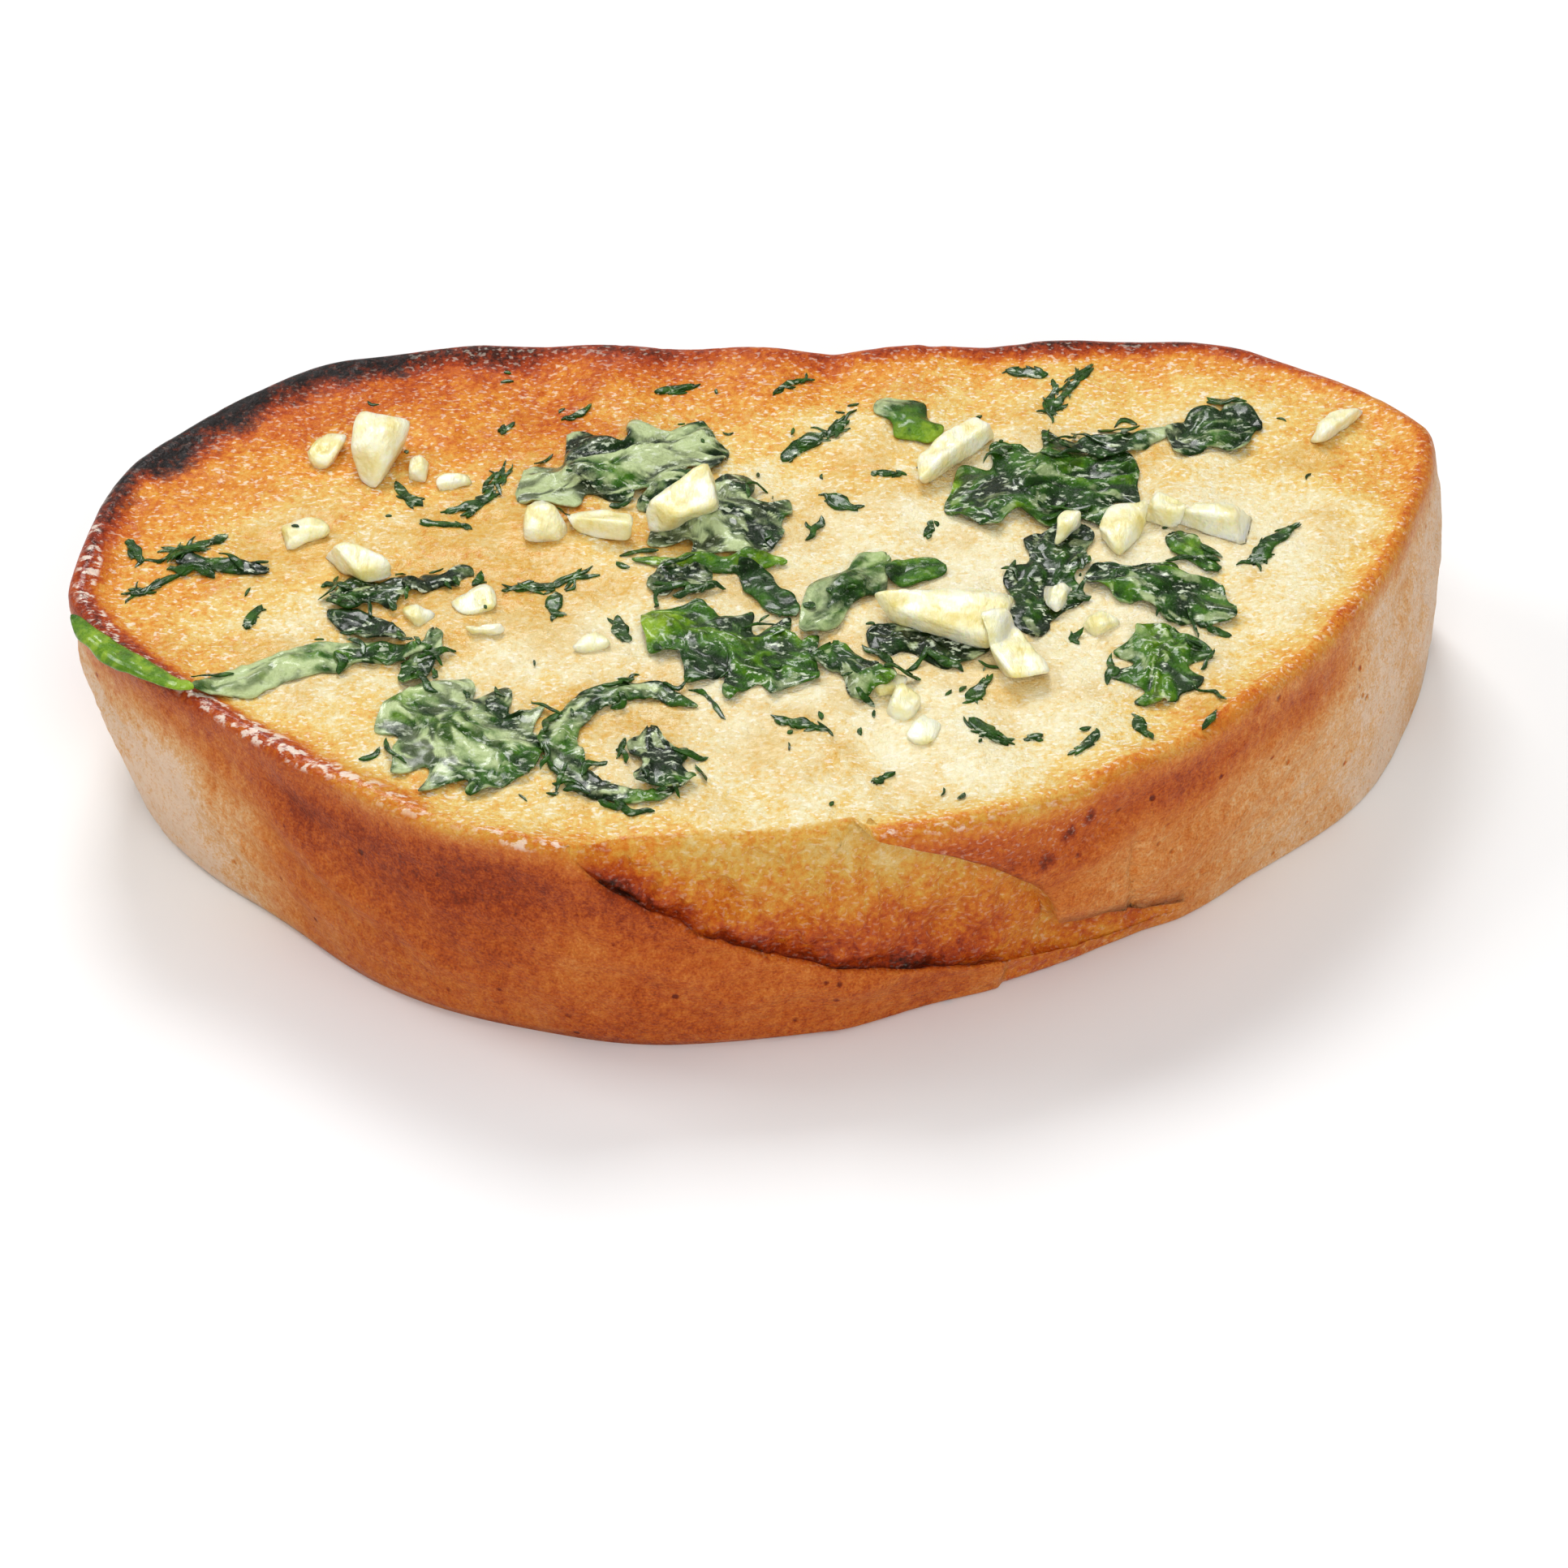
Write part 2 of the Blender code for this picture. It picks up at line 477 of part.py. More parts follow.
def chunk_points(chunk, directions, seed):
    """Points of a chopped piece: a sphere's directions, each stopped at the nearest cut."""
    normals, distances = cut_planes(seed)
    facing = np.maximum(directions @ normals.T, 1e-6)
    reach = ((facing / distances) ** 10).sum(axis=1) ** -0.1
    scaled = directions * reach[:, None]
    narrowed = 1 - chunk.taper * (0.5 - scaled[:, 0] / 2)
    scaled[:, 1] *= narrowed
    scaled[:, 2] *= (1 + narrowed) / 2
    scaled *= (chunk.length / 2, chunk.width / 2, chunk.height / 2)
    turn = math.radians(chunk.heading)
    x = chunk.x + scaled[:, 0] * math.cos(turn) - scaled[:, 1] * math.sin(turn)
    y = chunk.y + scaled[:, 0] * math.sin(turn) + scaled[:, 1] * math.cos(turn)
    return np.stack([x, y, scaled[:, 2]], axis=1)


def ball(subdivisions):
    """Directions and triangles of a ball of even triangles."""
    mesh = bmesh.new()
    bmesh.ops.create_icosphere(mesh, subdivisions=subdivisions, radius=1.0)
    directions = np.array([v.co for v in mesh.verts])
    faces = [[v.index for v in f.verts] for f in mesh.faces]
    mesh.free()
    return directions / np.linalg.norm(directions, axis=1)[:, None], faces


def chunk_mesh(chunk, ground, seed):
    """A chopped piece that rests on the ground, with its underside following what it lies on.

    Where the ground rises into it, its upper side stays above by CHUNK_KEPT of its height over its middle.
    """
    directions, faces = ball(3 if chunk.length > 10 else 2)
    points = chunk_points(chunk, directions, seed)
    floor = ground.under(points[:, 0], points[:, 1], LEAF_BRIDGE) + GAP
    middle = np.median(floor) + chunk.height / 2 - 3 * GAP
    kept = CHUNK_KEPT * np.maximum(points[:, 2], 0.0)
    points[:, 2] = np.maximum(points[:, 2] + middle, floor + kept)
    return points, faces


def crumb_mesh(row, seed):
    """A garlic crumb sunk a third of its height into the crumb of the slice."""
    chunk = Chunk("crumb", *row)
    directions, faces = ball(2 if chunk.length > 4 else 1)
    points = chunk_points(chunk, directions, seed)
    points[:, 2] += face_height(np.array([chunk.x]), np.array([chunk.y])) + chunk.height / 6
    return points, faces


def sliver_mesh(row):
    """A narrow strip of herb that lies in the face: four stations of a flat cross-section."""
    x, y, length, width, heading, bend = row
    x, y, here = spine(x, y, length, heading, bend, SLIVER_STATIONS)
    half = width / 2 * SLIVER_TAPER
    rings = []
    for side, stand in ((-1, -SLIVER_SINK), (1, -SLIVER_SINK), (1, SLIVER_STAND), (-1, SLIVER_STAND)):
        px, py = x - side * half * np.sin(here), y + side * half * np.cos(here)
        rings.append(np.stack([px, py, face_height(px, py) + stand], axis=1))
    count = len(SLIVER_STATIONS)
    index = np.arange(4 * count).reshape(4, count)
    index = np.concatenate([index, index[:1]])
    caps = halved([index[3::-1, 0], index[:4, -1]])
    return np.concatenate(rings), np.concatenate([grid_faces(index)[:, ::-1], caps])


def combine(target, pieces, operation):
    """Joins the pieces to the target, or cuts them from it, by one applied Boolean, and removes them."""
    group = bpy.data.collections.new("pieces")
    bpy.context.scene.collection.children.link(group)
    for piece in pieces:
        bpy.context.collection.objects.unlink(piece)
        group.objects.link(piece)
    boolean = target.modifiers.new("combine", "BOOLEAN")
    boolean.operation = operation
    boolean.operand_type = "COLLECTION"
    boolean.collection = group
    boolean.solver = "EXACT"
    graph = bpy.context.evaluated_depsgraph_get()
    combined = bpy.data.meshes.new_from_object(target.evaluated_get(graph))
    target.modifiers.clear()
    target.data = combined
    for piece in pieces:
        bpy.data.objects.remove(piece)
    bpy.data.collections.remove(group)


def main():
    for leftover in list(bpy.data.objects):
        bpy.data.objects.remove(leftover)
    finishes = {name: new_finish(name) for name in COLOURS}
    ground = Ground()

    bread = new_object("bread", *slice_mesh(), finishes["bread"])
    combine(bread, [new_object("score", *score_cutter(), finishes["bread"])], "DIFFERENCE")
    small = []
    for number, row in enumerate(GARLIC_CRUMBS):
        points, faces = crumb_mesh(row, 40 + number)
        ground.pile(points)
        small.append(new_object(f"crumb_{number}", points, faces, finishes["garlic"]))
    for number, row in enumerate(SLIVERS):
        points, faces = sliver_mesh(row)
        ground.pile(points)
        small.append(new_object(f"sliver_{number}", points, faces, finishes["leaf"]))
    combine(bread, small, "UNION")

    for leaf in LEAVES:
        points, faces, upper = leaf_mesh(leaf, ground)
        new_object(leaf.name, points, faces, finishes["leaf"])
        ground.pile(upper)
    for number, chunk in enumerate(GARLIC):
        points, faces = chunk_mesh(chunk, ground, 70 + number)
        new_object(chunk.name, points, faces, finishes["garlic"])
        ground.pile(points)


main()
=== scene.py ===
"""Garlic bread: the looks of one thick toasted slice of an oval loaf, with wilted herbs and chopped garlic.

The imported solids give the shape, and each of them is replaced here by a finer surface of the same form.
Tables and surfaces are in millimetres and degrees, in the plan that the solids were drawn in. new_piece
moves that plan by PLAN_MIDDLE and turns it into metres. Z is up from the lower cut face. +Y is the loaf's
flat base crust, and -Y is its domed top crust with the baker's score.
"""

import math
from typing import NamedTuple

import bpy
import numpy as np
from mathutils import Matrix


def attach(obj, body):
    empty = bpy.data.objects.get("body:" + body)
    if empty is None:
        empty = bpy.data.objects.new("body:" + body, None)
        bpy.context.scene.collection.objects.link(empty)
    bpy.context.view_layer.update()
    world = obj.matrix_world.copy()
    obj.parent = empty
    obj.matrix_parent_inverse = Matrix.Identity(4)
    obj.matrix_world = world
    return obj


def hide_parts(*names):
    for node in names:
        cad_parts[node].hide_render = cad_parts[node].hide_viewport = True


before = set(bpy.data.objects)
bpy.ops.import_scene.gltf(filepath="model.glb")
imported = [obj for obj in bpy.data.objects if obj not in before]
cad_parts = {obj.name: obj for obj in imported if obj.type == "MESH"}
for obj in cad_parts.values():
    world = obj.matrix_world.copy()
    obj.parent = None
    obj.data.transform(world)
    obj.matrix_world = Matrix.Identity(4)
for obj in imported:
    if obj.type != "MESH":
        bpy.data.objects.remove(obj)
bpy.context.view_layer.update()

MM = 0.001
PLAN_MIDDLE = (1.05, 0.03, 0.0)  # the middle of the outline in the plan of the tables below

# The slice, as the solids have it.
THICKNESS = 24.5
RIM_POINTS = [
    (-66.3, 2.5), (-65.4, -3.5), (-60, -11.6), (-46, -24), (-30.5, -35.2), (-17, -39.8), (-3, -39.9),
    (10.8, -37.9), (25.4, -33.4), (42.4, -22.3), (55.5, -7.7), (63.6, 8.6), (67.1, 21.8), (65.1, 28),
    (55.3, 35.9), (42.2, 40.4), (9.2, 39.3), (-19.4, 39.8), (-38.7, 38.2), (-49.8, 32.3), (-62.4, 18.8),
]
EDGE_ROUND = 1.6
CRUST_BAND = 5.0
CRUST_STAND = 0.9
BULGE = 0.9
FINE_INSET = 0.05  # how far inside the solids' reach the fine surface stays
BASE_ROUND = 0.8
BASE_INSETS = [
    (0, -1.8), (30, -0.6), (60, 0.6), (90, 0.8), (120, 1.3), (150, 2.6), (180, 5.2), (200, 2.2),
    (220, 0.5), (240, 1.3), (260, 0.4), (280, 0.8), (300, 2.9), (320, 2.5), (340, 1.6), (360, -1.8),
]
FACE_SWELL = 0.3
FACE_SWELL_SIZE = 16.0
WALL_SWELL = 0.4
WALL_SWELL_SIZE = 11.0

# The baker's score. Its drops are measured down from the rim.
LIP_START = -17.5
LIP_DROP = 28.0
LIP_RUN = 32.0
LIP_LOWEST = 22.6
EAR_START = 10.0
EAR_END = 29.5
EAR_DROP = 17.0
EAR_FALL = 0.36  # how fast the ear goes on falling past EAR_END
SCORE_END = 43.0
EAR_DEPTH = 2.8
LIP_DEPTH = 1.4
MOUTH_EASE = 4.0
EAR_TIP = 1.6  # length over which the ear's tip rounds off
EAR_TUCK = 1.5  # how far the crumb goes up behind the ear's edge
LIP_POCKET = 0.9  # how far the torn band goes down behind the lip's edge
LIP_ROUND = 0.45
SCORE_CLOSE = 4.0  # length over which the score closes before its right end
FLAP_END = 24.6  # where the lip below the score breaks off
FLAP_BREAK = 1.2  # length over which it does
FLAP_STEP = 0.7
SEAM_X = 36.2  # a short fold of the crust beyond the ear
SEAM_WIDTH = 0.5
SEAM_DEPTH = 0.7
SEAM_TOP = 17.0

# The slice's fine surface.
FACE_SQUARES = 220
EAR_ROWS = 14  # rows of the crust from the rim to the ear's line
TORN_ROWS = 12  # rows of the torn band
FLAP_ROWS = 18  # rows from the lip's line to the base
BASE_RINGS = 5
EDGE_SHARE = 0.86  # share of the radius past which the face follows the mouth's inset
LEFT_LIP_ROWS = 9.0  # drop that the lip's row reaches at the left end, where no score shows
REST_ROW = 0.35  # share of the lip's drop where the ear's row lies away from the ear
ROW_GAP = 0.01  # least drop between the two rows
EAR_ROW_EASE = 5.0  # lengths over which the ear's row leaves the rim before the ear, and leaves the ear
EAR_ROW_RETURN = 12.0
BASE_MARKS = (0.35, 0.0, 0.1, 0.0)

# What lies on the slice.
GROUND_STEP = 0.25
GROUND_REACH = (70.0, 44.0)
SLOPE_OFF_RIM = 0.8
DRAPE_REACH = 0.75  # how far round a point the hollows under a leaf are bridged
DRAPE_PAD = 12  # squares of ground round a leaf that its drape looks at
DRAPE_BLUR = 3  # rounds of smoothing of a leaf's drape
GAP = 0.07
LEAF_THICKNESS = 0.17
LEAF_SQUARE = 0.27
LOBE_DEPTH = 0.24
LOBE_SWEEP = 0.22
STIFF_WIDTH = 8.0  # a leaf as wide as this has folds, veins and curls in full
CUT_DISTANCE = 0.86  # of the six cuts along a chopped piece's box, in half sizes
CUT_TILT = 0.22
CORNER_CUTS = 7
CHUNK_SUNK = 0.9  # how far a chopped piece's middle is under half its height over the ground
CHUNK_KEPT = 0.5
CHUNK_GAP = 0.05
LONG_CHUNK = 7.5  # longer ones have the finer ball
FINE_BALL, PLAIN_BALL, CRUMB_BALL = (64, 40), (44, 28), (28, 18)  # columns and rows
SLIVER_SQUARE = 0.3
SLIVER_STAND = 0.4
SLIVER_SUNK = 0.15
# Marks of the slivers, and below of the shreds: young, pale, dark and wet; the wetness gives them painted
# wet highlights.
SLIVER_MARKS = (0.35, 0.1, 0.15, 0.8)
SHREDS_PER_MM = 0.5
SHRED_SQUARE = 0.35
SHRED_THICKNESS = 0.16
SHRED_MARKS = (0.35, 0.0, 0.15, 0.4)
SHRED_RIM_GAP = 3.0
SHRED_SEED = 7
FLECKS = 80
CRUMB_SEED = 40
CHUNK_SEED = 70


class Leaf(NamedTuple):
    """A herb leaf or strip as in the solids, then its looks.

    young and pale are shares of fresh green and of pallor, partly a painted sheen, and torn is how ragged
    and wet it is, wetness bringing painted highlights and deeper painted shade in streaks. tip makes its
    end wetter and darker than its start, and fade makes its start paler than its end.
    """

    name: str
    x: float
    y: float
    length: float
    width: float
    heading: float
    bend: float
    lobes: int
    lift: float
    young: float
    pale: float
    torn: float
    tip: float = 0.0
    fade: float = 0.0


class Chunk(NamedTuple):
    """A chopped piece of garlic: sizes along its heading, across it and up; taper narrows its start."""

    name: str
    x: float
    y: float
    length: float
    width: float
    height: float
    heading: float
    taper: float = 0.0


# Name, x, y, length, width, heading, bend, lobes, lift, young, pale, torn, tip and fade.
LEAVES = [Leaf("leaf_" + name, *rest) for name, *rest in (
    ("back_left", -13.5, 19.3, 22, 10, 24, -35, 4, 1.2, 0.2, 0.75, 0.6, 0, 0.4),
    ("middle", -4, 11, 15.5, 11, -38, 0, 3, 0.9, 0.4, 0.7, 0.9),
    ("middle_stem", -4.5, 3.9, 15, 1.9, -3, 8, 0, 0.4, 0.6, 0, 0.4),
    ("crinkled", -7.4, 0.9, 6.6, 4, 12, 0, 2, 0.4, 0.1, 0.35, 1),
    ("folded", 1.2, -0.6, 9, 3.2, -56, 0, 0, 0.4, 0.3, 0, 0.3),
    ("centre", -2.4, -9.2, 18, 10.5, -28, 0, 4, 0.9, 0.4, 0, 0.6, 0.5),
    ("low", 9.4, -12.8, 9.5, 4.4, -48, 30, 2, 0.4, 0.4, 0.1, 0.8),
    ("low_right", 16.6, -8.2, 12.5, 4.8, -10, 0, 2, 0.4, 0.15, 0.2, 1.2),
    ("pale", 8.4, -1, 15.5, 5, 57, -12, 2, 1.2, 0.5, 0.9, 0.2),
    ("tip", 15.4, 2.6, 6.5, 3.8, 20, 0, 0, 0.4, 0.6, 0, 0.2),
    ("back_right", 28, 16.3, 20.5, 12.5, 20, 0, 4, 1.2, 0.5, 0.15, 0.6),
    ("strip", 35.3, 22.9, 12.5, 3, 20, 10, 0, 0.4, 0.2, 0.3, 0.8),
    ("arrow", 45, 25, 10.5, 6, 22, 0, 2, 0.4, 0.25, 0.3, 0.5),
    ("dark", 28, 2, 18, 6.5, 74, -30, 3, 0.4, 0.15, 0, 1),
    ("curl", 38.8, -0.6, 14.5, 7, -24, 0, 3, 1, 0.4, 0.12, 0.7),
    ("right", 38.4, -11.2, 11.5, 8, -86, 0, 3, 0.6, 0.35, 0.25, 1.2),
    ("small_right", 42.2, 5.7, 7.5, 2.8, -52, 0, 0, 0.4, 0.35, 0.1, 1),
    ("front_left", -27.3, -22, 17.5, 13.5, -42, 0, 4, 0.9, 0.4, 0.8, 0.5, 0, 0.4),
    ("front_stem", -31.2, -11, 8, 2.8, 72, 20, 0, 0.4, 0.15, 0.4, 1.2),
    ("ring", -18.2, -22.6, 33, 3, -95, 250, 0, 0.4, 0.25, 0.35, 0.8),
    ("ring_knot", -8.6, -26.2, 9, 5.4, -70, 0, 2, 0.6, 0.15, 0.2, 1),
    ("blade_pale", -44.5, -12.2, 19, 4.2, 24, -10, 0, 0.6, 0.5, 0.95, 0.3),
    ("blade_green", -59.8, -11.8, 17.5, 2.4, -44, 28, 0, 0.3, 0.9, 0, 0),
    ("tail", -35.6, -9.9, 9, 2.6, 8, -20, 0, 0.4, 0.25, 0.2, 1.2),
    ("left", -51.6, 3.3, 9.5, 2.2, -8, 20, 0, 0.4, 0.2, 0.1, 1.6),
    ("left_low", -37.4, -5.4, 8.5, 3.2, -32, 0, 0, 0.4, 0.4, 0, 1),
    ("left_dark", -37.2, -1, 8.5, 3.8, 15, 0, 2, 0.4, 0.15, 0.2, 1),
    ("left_chain", -30.4, 1.3, 8, 2.4, 26, 0, 2, 0.4, 0.15, 0.3, 1.2),
    ("back", 15, 27, 8.5, 4.6, -50, 0, 2, 0.8, 0.6, 0.4, 0, -0.6, 0.6),
)]

# Name, x, y, length, width, height, heading and taper.
GARLIC = [Chunk("garlic_" + name, *rest) for name, *rest in (
    ("back_left", -37.4, 20.6, 7, 6.4, 5.6, 70, 0.3),
    ("left", -38.5, 3, 7.2, 4, 3.6, -45, 0.3),
    ("strip_left", -15.2, 9.2, 7.4, 4, 3.2, -8, 0.35),
    ("middle", -7.2, 10.6, 8.4, 6.4, 4, 25, 0.3),
    ("back", 19.2, 21, 11.5, 4.4, 3.8, 50, 0.3),
    ("far_right", 57, 25.6, 7.2, 2.6, 2.6, 50, 0.3),
    ("large", 17.9, -5.4, 14.5, 10.6, 4.6, -10, 0.7),
    ("lobe", 24.4, -10.6, 8.4, 5.4, 3.2, -72, 0.35),
    ("right", 44.6, 10.4, 6.4, 4.8, 3.4, -14, 0.4),
    ("between", 39.7, 11.2, 4.2, 3.6, 3.2, -30, 0.3),
    ("ridged", 35.4, 8.8, 6.4, 4.8, 3, 75, 0.2),
    ("on_leaf", 30.1, 8.6, 3.6, 3, 2.4, 60, 0.5),
    ("on_dark_leaf", 28.9, -1.6, 4.6, 2.6, 2, 75, 0.4),
)]

# Garlic crumbs set in the face: x, y, length, width, height and heading.
GARLIC_CRUMBS = [
    (-42.4, 21.6, 6, 2.6, 2.6, 68), (-33.2, 18.6, 3, 2.2, 2.2, 80), (-43.8, 8.8, 5, 4, 1.8, 10),
    (-20.6, 8.6, 4.6, 3.6, 3, 5), (-29.8, 17.2, 4, 2.2, 1.2, 20), (-26.6, -2.4, 4.6, 3.4, 1.2, 30),
    (-15.6, -8.6, 3.4, 2.6, 1.6, 40), (-32.4, -4.2, 3, 2.4, 1.6, -60), (-25.6, -6.6, 4.4, 1.2, 1.2, 5),
    (33, -5.4, 3.4, 3, 1.8, 40), (12.4, -14.8, 3.8, 3.2, 2, 20), (13.9, -18, 3.8, 3.2, 2.4, 70),
    (15.9, -21.6, 4.4, 3, 1.2, 60),
]

# Herb slivers set in the face: x, y, length, width, heading and bend.
SLIVERS = [
    (-8.2, 32.4, 4.2, 1, 18, 20), (3.6, 33, 4, 0.8, 42, 0), (27, 35, 4.4, 1.4, -14, 30),
    (30.8, 31.6, 8, 1, 62, 20), (29.4, 30.2, 5, 0.8, 84, -30), (5.7, 24, 9, 1.8, 42, -20),
    (8.2, 13.6, 4.4, 1.4, -38, 0), (12.6, 18.2, 2.6, 0.7, -6, 0), (49.9, 7.2, 7.4, 1.8, 58, -20),
    (-30.4, 10.2, 4.8, 1, -8, 20), (-34.2, 15, 4.8, 1.2, -58, 30), (-26.4, 15, 8, 1, 68, 10),
    (-28.2, 13.4, 5, 0.9, 30, 0), (-19.2, 1.2, 8.6, 0.7, 14, -12), (-19.2, -2.2, 4.2, 1.2, -84, 0),
    (-12.9, -6, 4.4, 1.3, -78, 20), (-48, -4.4, 3.8, 1.2, 70, 0), (-60.2, 5.8, 4, 1.4, -68, 0),
    (-54.6, 6.4, 8, 1.1, 32, 0), (-57.4, 1.2, 6.4, 0.9, 34, 0), (4.4, -20.6, 5.4, 1, -14, 0),
    (21.8, -21.6, 5.2, 1.6, -42, 0), (21, -15.4, 4.2, 1.2, 68, 10), (31, -23.4, 4, 0.9, 54, 0),
    (12, -28, 2.6, 0.6, 40, 0), (26.2, -22.2, 1.6, 0.9, 10, 0), (-12.6, -14.4, 3.4, 0.6, 40, 0),
    (-24.8, 26.2, 2.2, 0.7, 40, 0), (-17.6, 28.4, 3, 0.6, 34, 0), (42.6, -20, 3, 0.7, 60, 0),
    (36.2, -20.6, 3.2, 1, -70, 20), (16.8, 9.4, 2.4, 0.6, 62, 0),
]

# How toasted the face is along its rim: heading, the browned band's width and browning, and the width
# over which a golden glow fades inward from it.
RIM_TOAST = [
    (0, 3.6, 0.8, 4), (22, 4.2, 0.78, 4.5), (35, 5.8, 0.94, 5), (50, 8.6, 1.05, 6), (70, 7.5, 0.9, 7),
    (90, 7, 0.86, 8), (112, 9, 0.96, 10), (128, 12, 1.06, 13), (142, 12.5, 1.06, 15), (158, 11, 1.02, 12),
    (170, 8.5, 0.94, 8), (182, 7.5, 0.94, 6), (196, 6.4, 0.96, 4.5), (212, 5.8, 0.85, 3.5),
    (226, 4.4, 0.5, 3.5), (240, 4, 0.38, 4), (252, 4.5, 0.28, 4), (270, 4, 0.18, 3), (284, 4.5, 0.26, 3),
    (287, 3.8, 0.74, 3), (304, 3, 0.76, 2.6), (322, 3.2, 0.76, 3), (342, 3.4, 0.8, 3.5),
    (360, 3.6, 0.8, 4),
]

# How dark the crust is baked: heading and level. The lowest levels, at the far-left end round heading 193,
# are partly a painted pale sheen.
WALL_BAKE = [
    (0, 0.02), (25, 0.1), (50, 0.4), (90, 0.55), (140, 0.6), (165, 0.42), (180, 0.02), (193, -0.05),
    (202, 0.18), (214, 0.58), (230, 0.66), (250, 0.64), (270, 0.68), (295, 0.66), (312, 0.52), (328, 0.4),
    (345, 0.2), (360, 0.02),
]

# Where a look starts, over how much it sets in, where it ends and over how much it goes. Three are by
# heading: the char, and the butter standing on the left and on the right of the rim, which gives a
# glossy coat and a painted highlight there. One is along X: the ear's edge, which has the face's looks.
CHARRED = (122, 14, 176, 12)
BUTTERY_LEFT = (165, 12, 234, 12)
BUTTERY_RIGHT = (285, 3, 345, 14)
ROLLED = (9, 2, 38, 10)

# Small pits of the front crust, painted dark as their shade: x, drop and radius.
PIT_SHADES = [(27.2, 7.4, 0.6), (29.2, 5.2, 0.5), (31.2, 3.6, 0.4), (47.6, 1.4, 0.6)]

# Butter pools soaked into the face: x, y, radius and strength.
BUTTER_POOLS = [
    (3, -22.5, 5, 0.8), (42, -17.5, 3.5, 0.9), (18, -22, 3.5, 0.4), (-24, 4, 9, 0.65), (-44, 8.5, 5, 0.9),
    (23, -12.5, 5, 0.7), (-22, -4, 8, 0.6), (10, 14, 9, 0.3), (56, 22.5, 3, 0.8), (-12, -16, 7, 0.4),
    (-30, 8, 8, 0.5), (-20, 24, 9, 0.35),
]


def smooth_step(share):
    """0 below 0 and 1 above 1, with a smooth rise between them."""
    share = np.clip(share, 0.0, 1.0)
    return share * share * (3.0 - 2.0 * share)


def rise(value, start, width):
    """0 before a start and 1 past a width after it; a width below 0 goes the other way."""
    return smooth_step((value - start) / width)


def between(value, start, ease_in, end, ease_out):
    """1 between a start and an end, easing in after the one and out before the other."""
    return rise(value, start, ease_in) * rise(value, end, -ease_out)


def bell(value, middle, width):
    """1 at a middle, falling off evenly to both sides over this width."""
    return np.exp(-(((value - middle) / width) ** 2))


def spot(across, up, radius):
    """1 where both distances are 0, fading over this radius."""
    return np.exp(-((across**2 + up**2) / radius**2))


def vectors(*parts):
    """Rows of numbers from their columns, each an array or one number for all."""
    return np.stack(np.broadcast_arrays(*parts), axis=-1)


def waves(x, y, size, seed):
    """Soft uneven waves between about -1 and 1, as a sum of eight seeded cosines of about that size."""
    draw = np.random.default_rng(seed)
    total = np.zeros_like(np.asarray(x, float))
    for heading, stretch, phase in draw.random((8, 3)) * (2 * math.pi, 0.8, 2 * math.pi):
        pitch = 2 * math.pi / (size * (0.7 + stretch))
        total += np.cos(pitch * (x * math.cos(heading) + y * math.sin(heading)) + phase)
    return total / 3.5


def grain(points, size, seed):
    """Lattice noise from -1 to 1: each corner of a cubic lattice of that size has a seeded value, and a
    point's value eases between its cell's eight corners."""
    side = 48
    lattice = np.random.default_rng(seed).uniform(-1, 1, (side, side, side))
    scaled = np.asarray(points, float) / size
    cell = np.floor(scaled).astype(int)
    share = smooth_step(scaled - cell)
    total = np.zeros(scaled.shape[:-1])
    for corner in np.ndindex(2, 2, 2):
        weight = np.abs(1 - np.array(corner) - share).prod(axis=-1)
        total += weight * lattice[tuple(np.moveaxis((cell + corner) % side, -1, 0))]
    return total


def layered(points, size, seed, layers=3):
    """Grain of this size, plus half as strong grain of half the size, and so on."""
    return sum(grain(points, size / 2**n, seed + n) / 2**n for n in range(layers)) / 1.5


def eased(headings, values, angle):
    """A value at these angles, eased from each heading of a table in degrees to the next."""
    turned = np.degrees(angle) % 360
    after = np.clip(np.searchsorted(headings, turned, side="right"), 1, len(headings) - 1)
    share = (turned - headings[after - 1]) / (headings[after] - headings[after - 1])
    return values[after - 1] + (values[after] - values[after - 1]) * smooth_step(share)


def rim_curve(steps=12):
    """The rim as a closed smooth curve through RIM_POINTS: a cubic between each two, of steps points."""
    points = np.array(RIM_POINTS)
    before, after, beyond = (np.roll(points, -shift, axis=0) for shift in (-1, 1, 2))
    t = np.linspace(0.0, 1.0, steps, endpoint=False)[:, None, None]
    start, end = (after - before) / 2, (beyond - points) / 2
    curve = (1 + 2 * t) * (1 - t) ** 2 * points + t**2 * (3 - 2 * t) * after
    curve = curve + t * (1 - t) ** 2 * start - t**2 * (1 - t) * end
    return curve.transpose(1, 0, 2).reshape(-1, 2)


RIM_CURVE = rim_curve()


def rim_radius(angle):
    """Distance from the middle to the rim at these angles."""
    angles = np.arctan2(RIM_CURVE[:, 1], RIM_CURVE[:, 0])
    radii = np.hypot(RIM_CURVE[:, 0], RIM_CURVE[:, 1])
    return np.interp(angle, angles, radii, period=2 * math.pi)


def inside_rim(x, y):
    """How far inside the rim a place is, along the line to the middle."""
    return rim_radius(np.arctan2(y, x)) - np.hypot(x, y)


def score_lip(x):
    """Drop of the score's lower lip at a place along X: it falls away from the rim, ever more slowly."""
    return np.minimum(LIP_DROP * (1 - np.exp(-np.maximum(x - LIP_START, 0.0) / LIP_RUN)), LIP_LOWEST)


def score_ear(x):
    """Drop of the score's upper ear: none before EAR_START, ever more steeply down, then slowly on."""
    share = np.clip((x - EAR_START) / (EAR_END - EAR_START), 0.0, 1.0)
    return EAR_DROP * (1 - np.sqrt(1 - share)) + EAR_FALL * np.maximum(x - EAR_END, 0.0)


def in_mouth(x, y):
    """How far the score has opened the rim here: 0 outside the mouth between lip and ear, and 1 in it."""
    return between(x, LIP_START, MOUTH_EASE, EAR_START, MOUTH_EASE) * (y < 0)


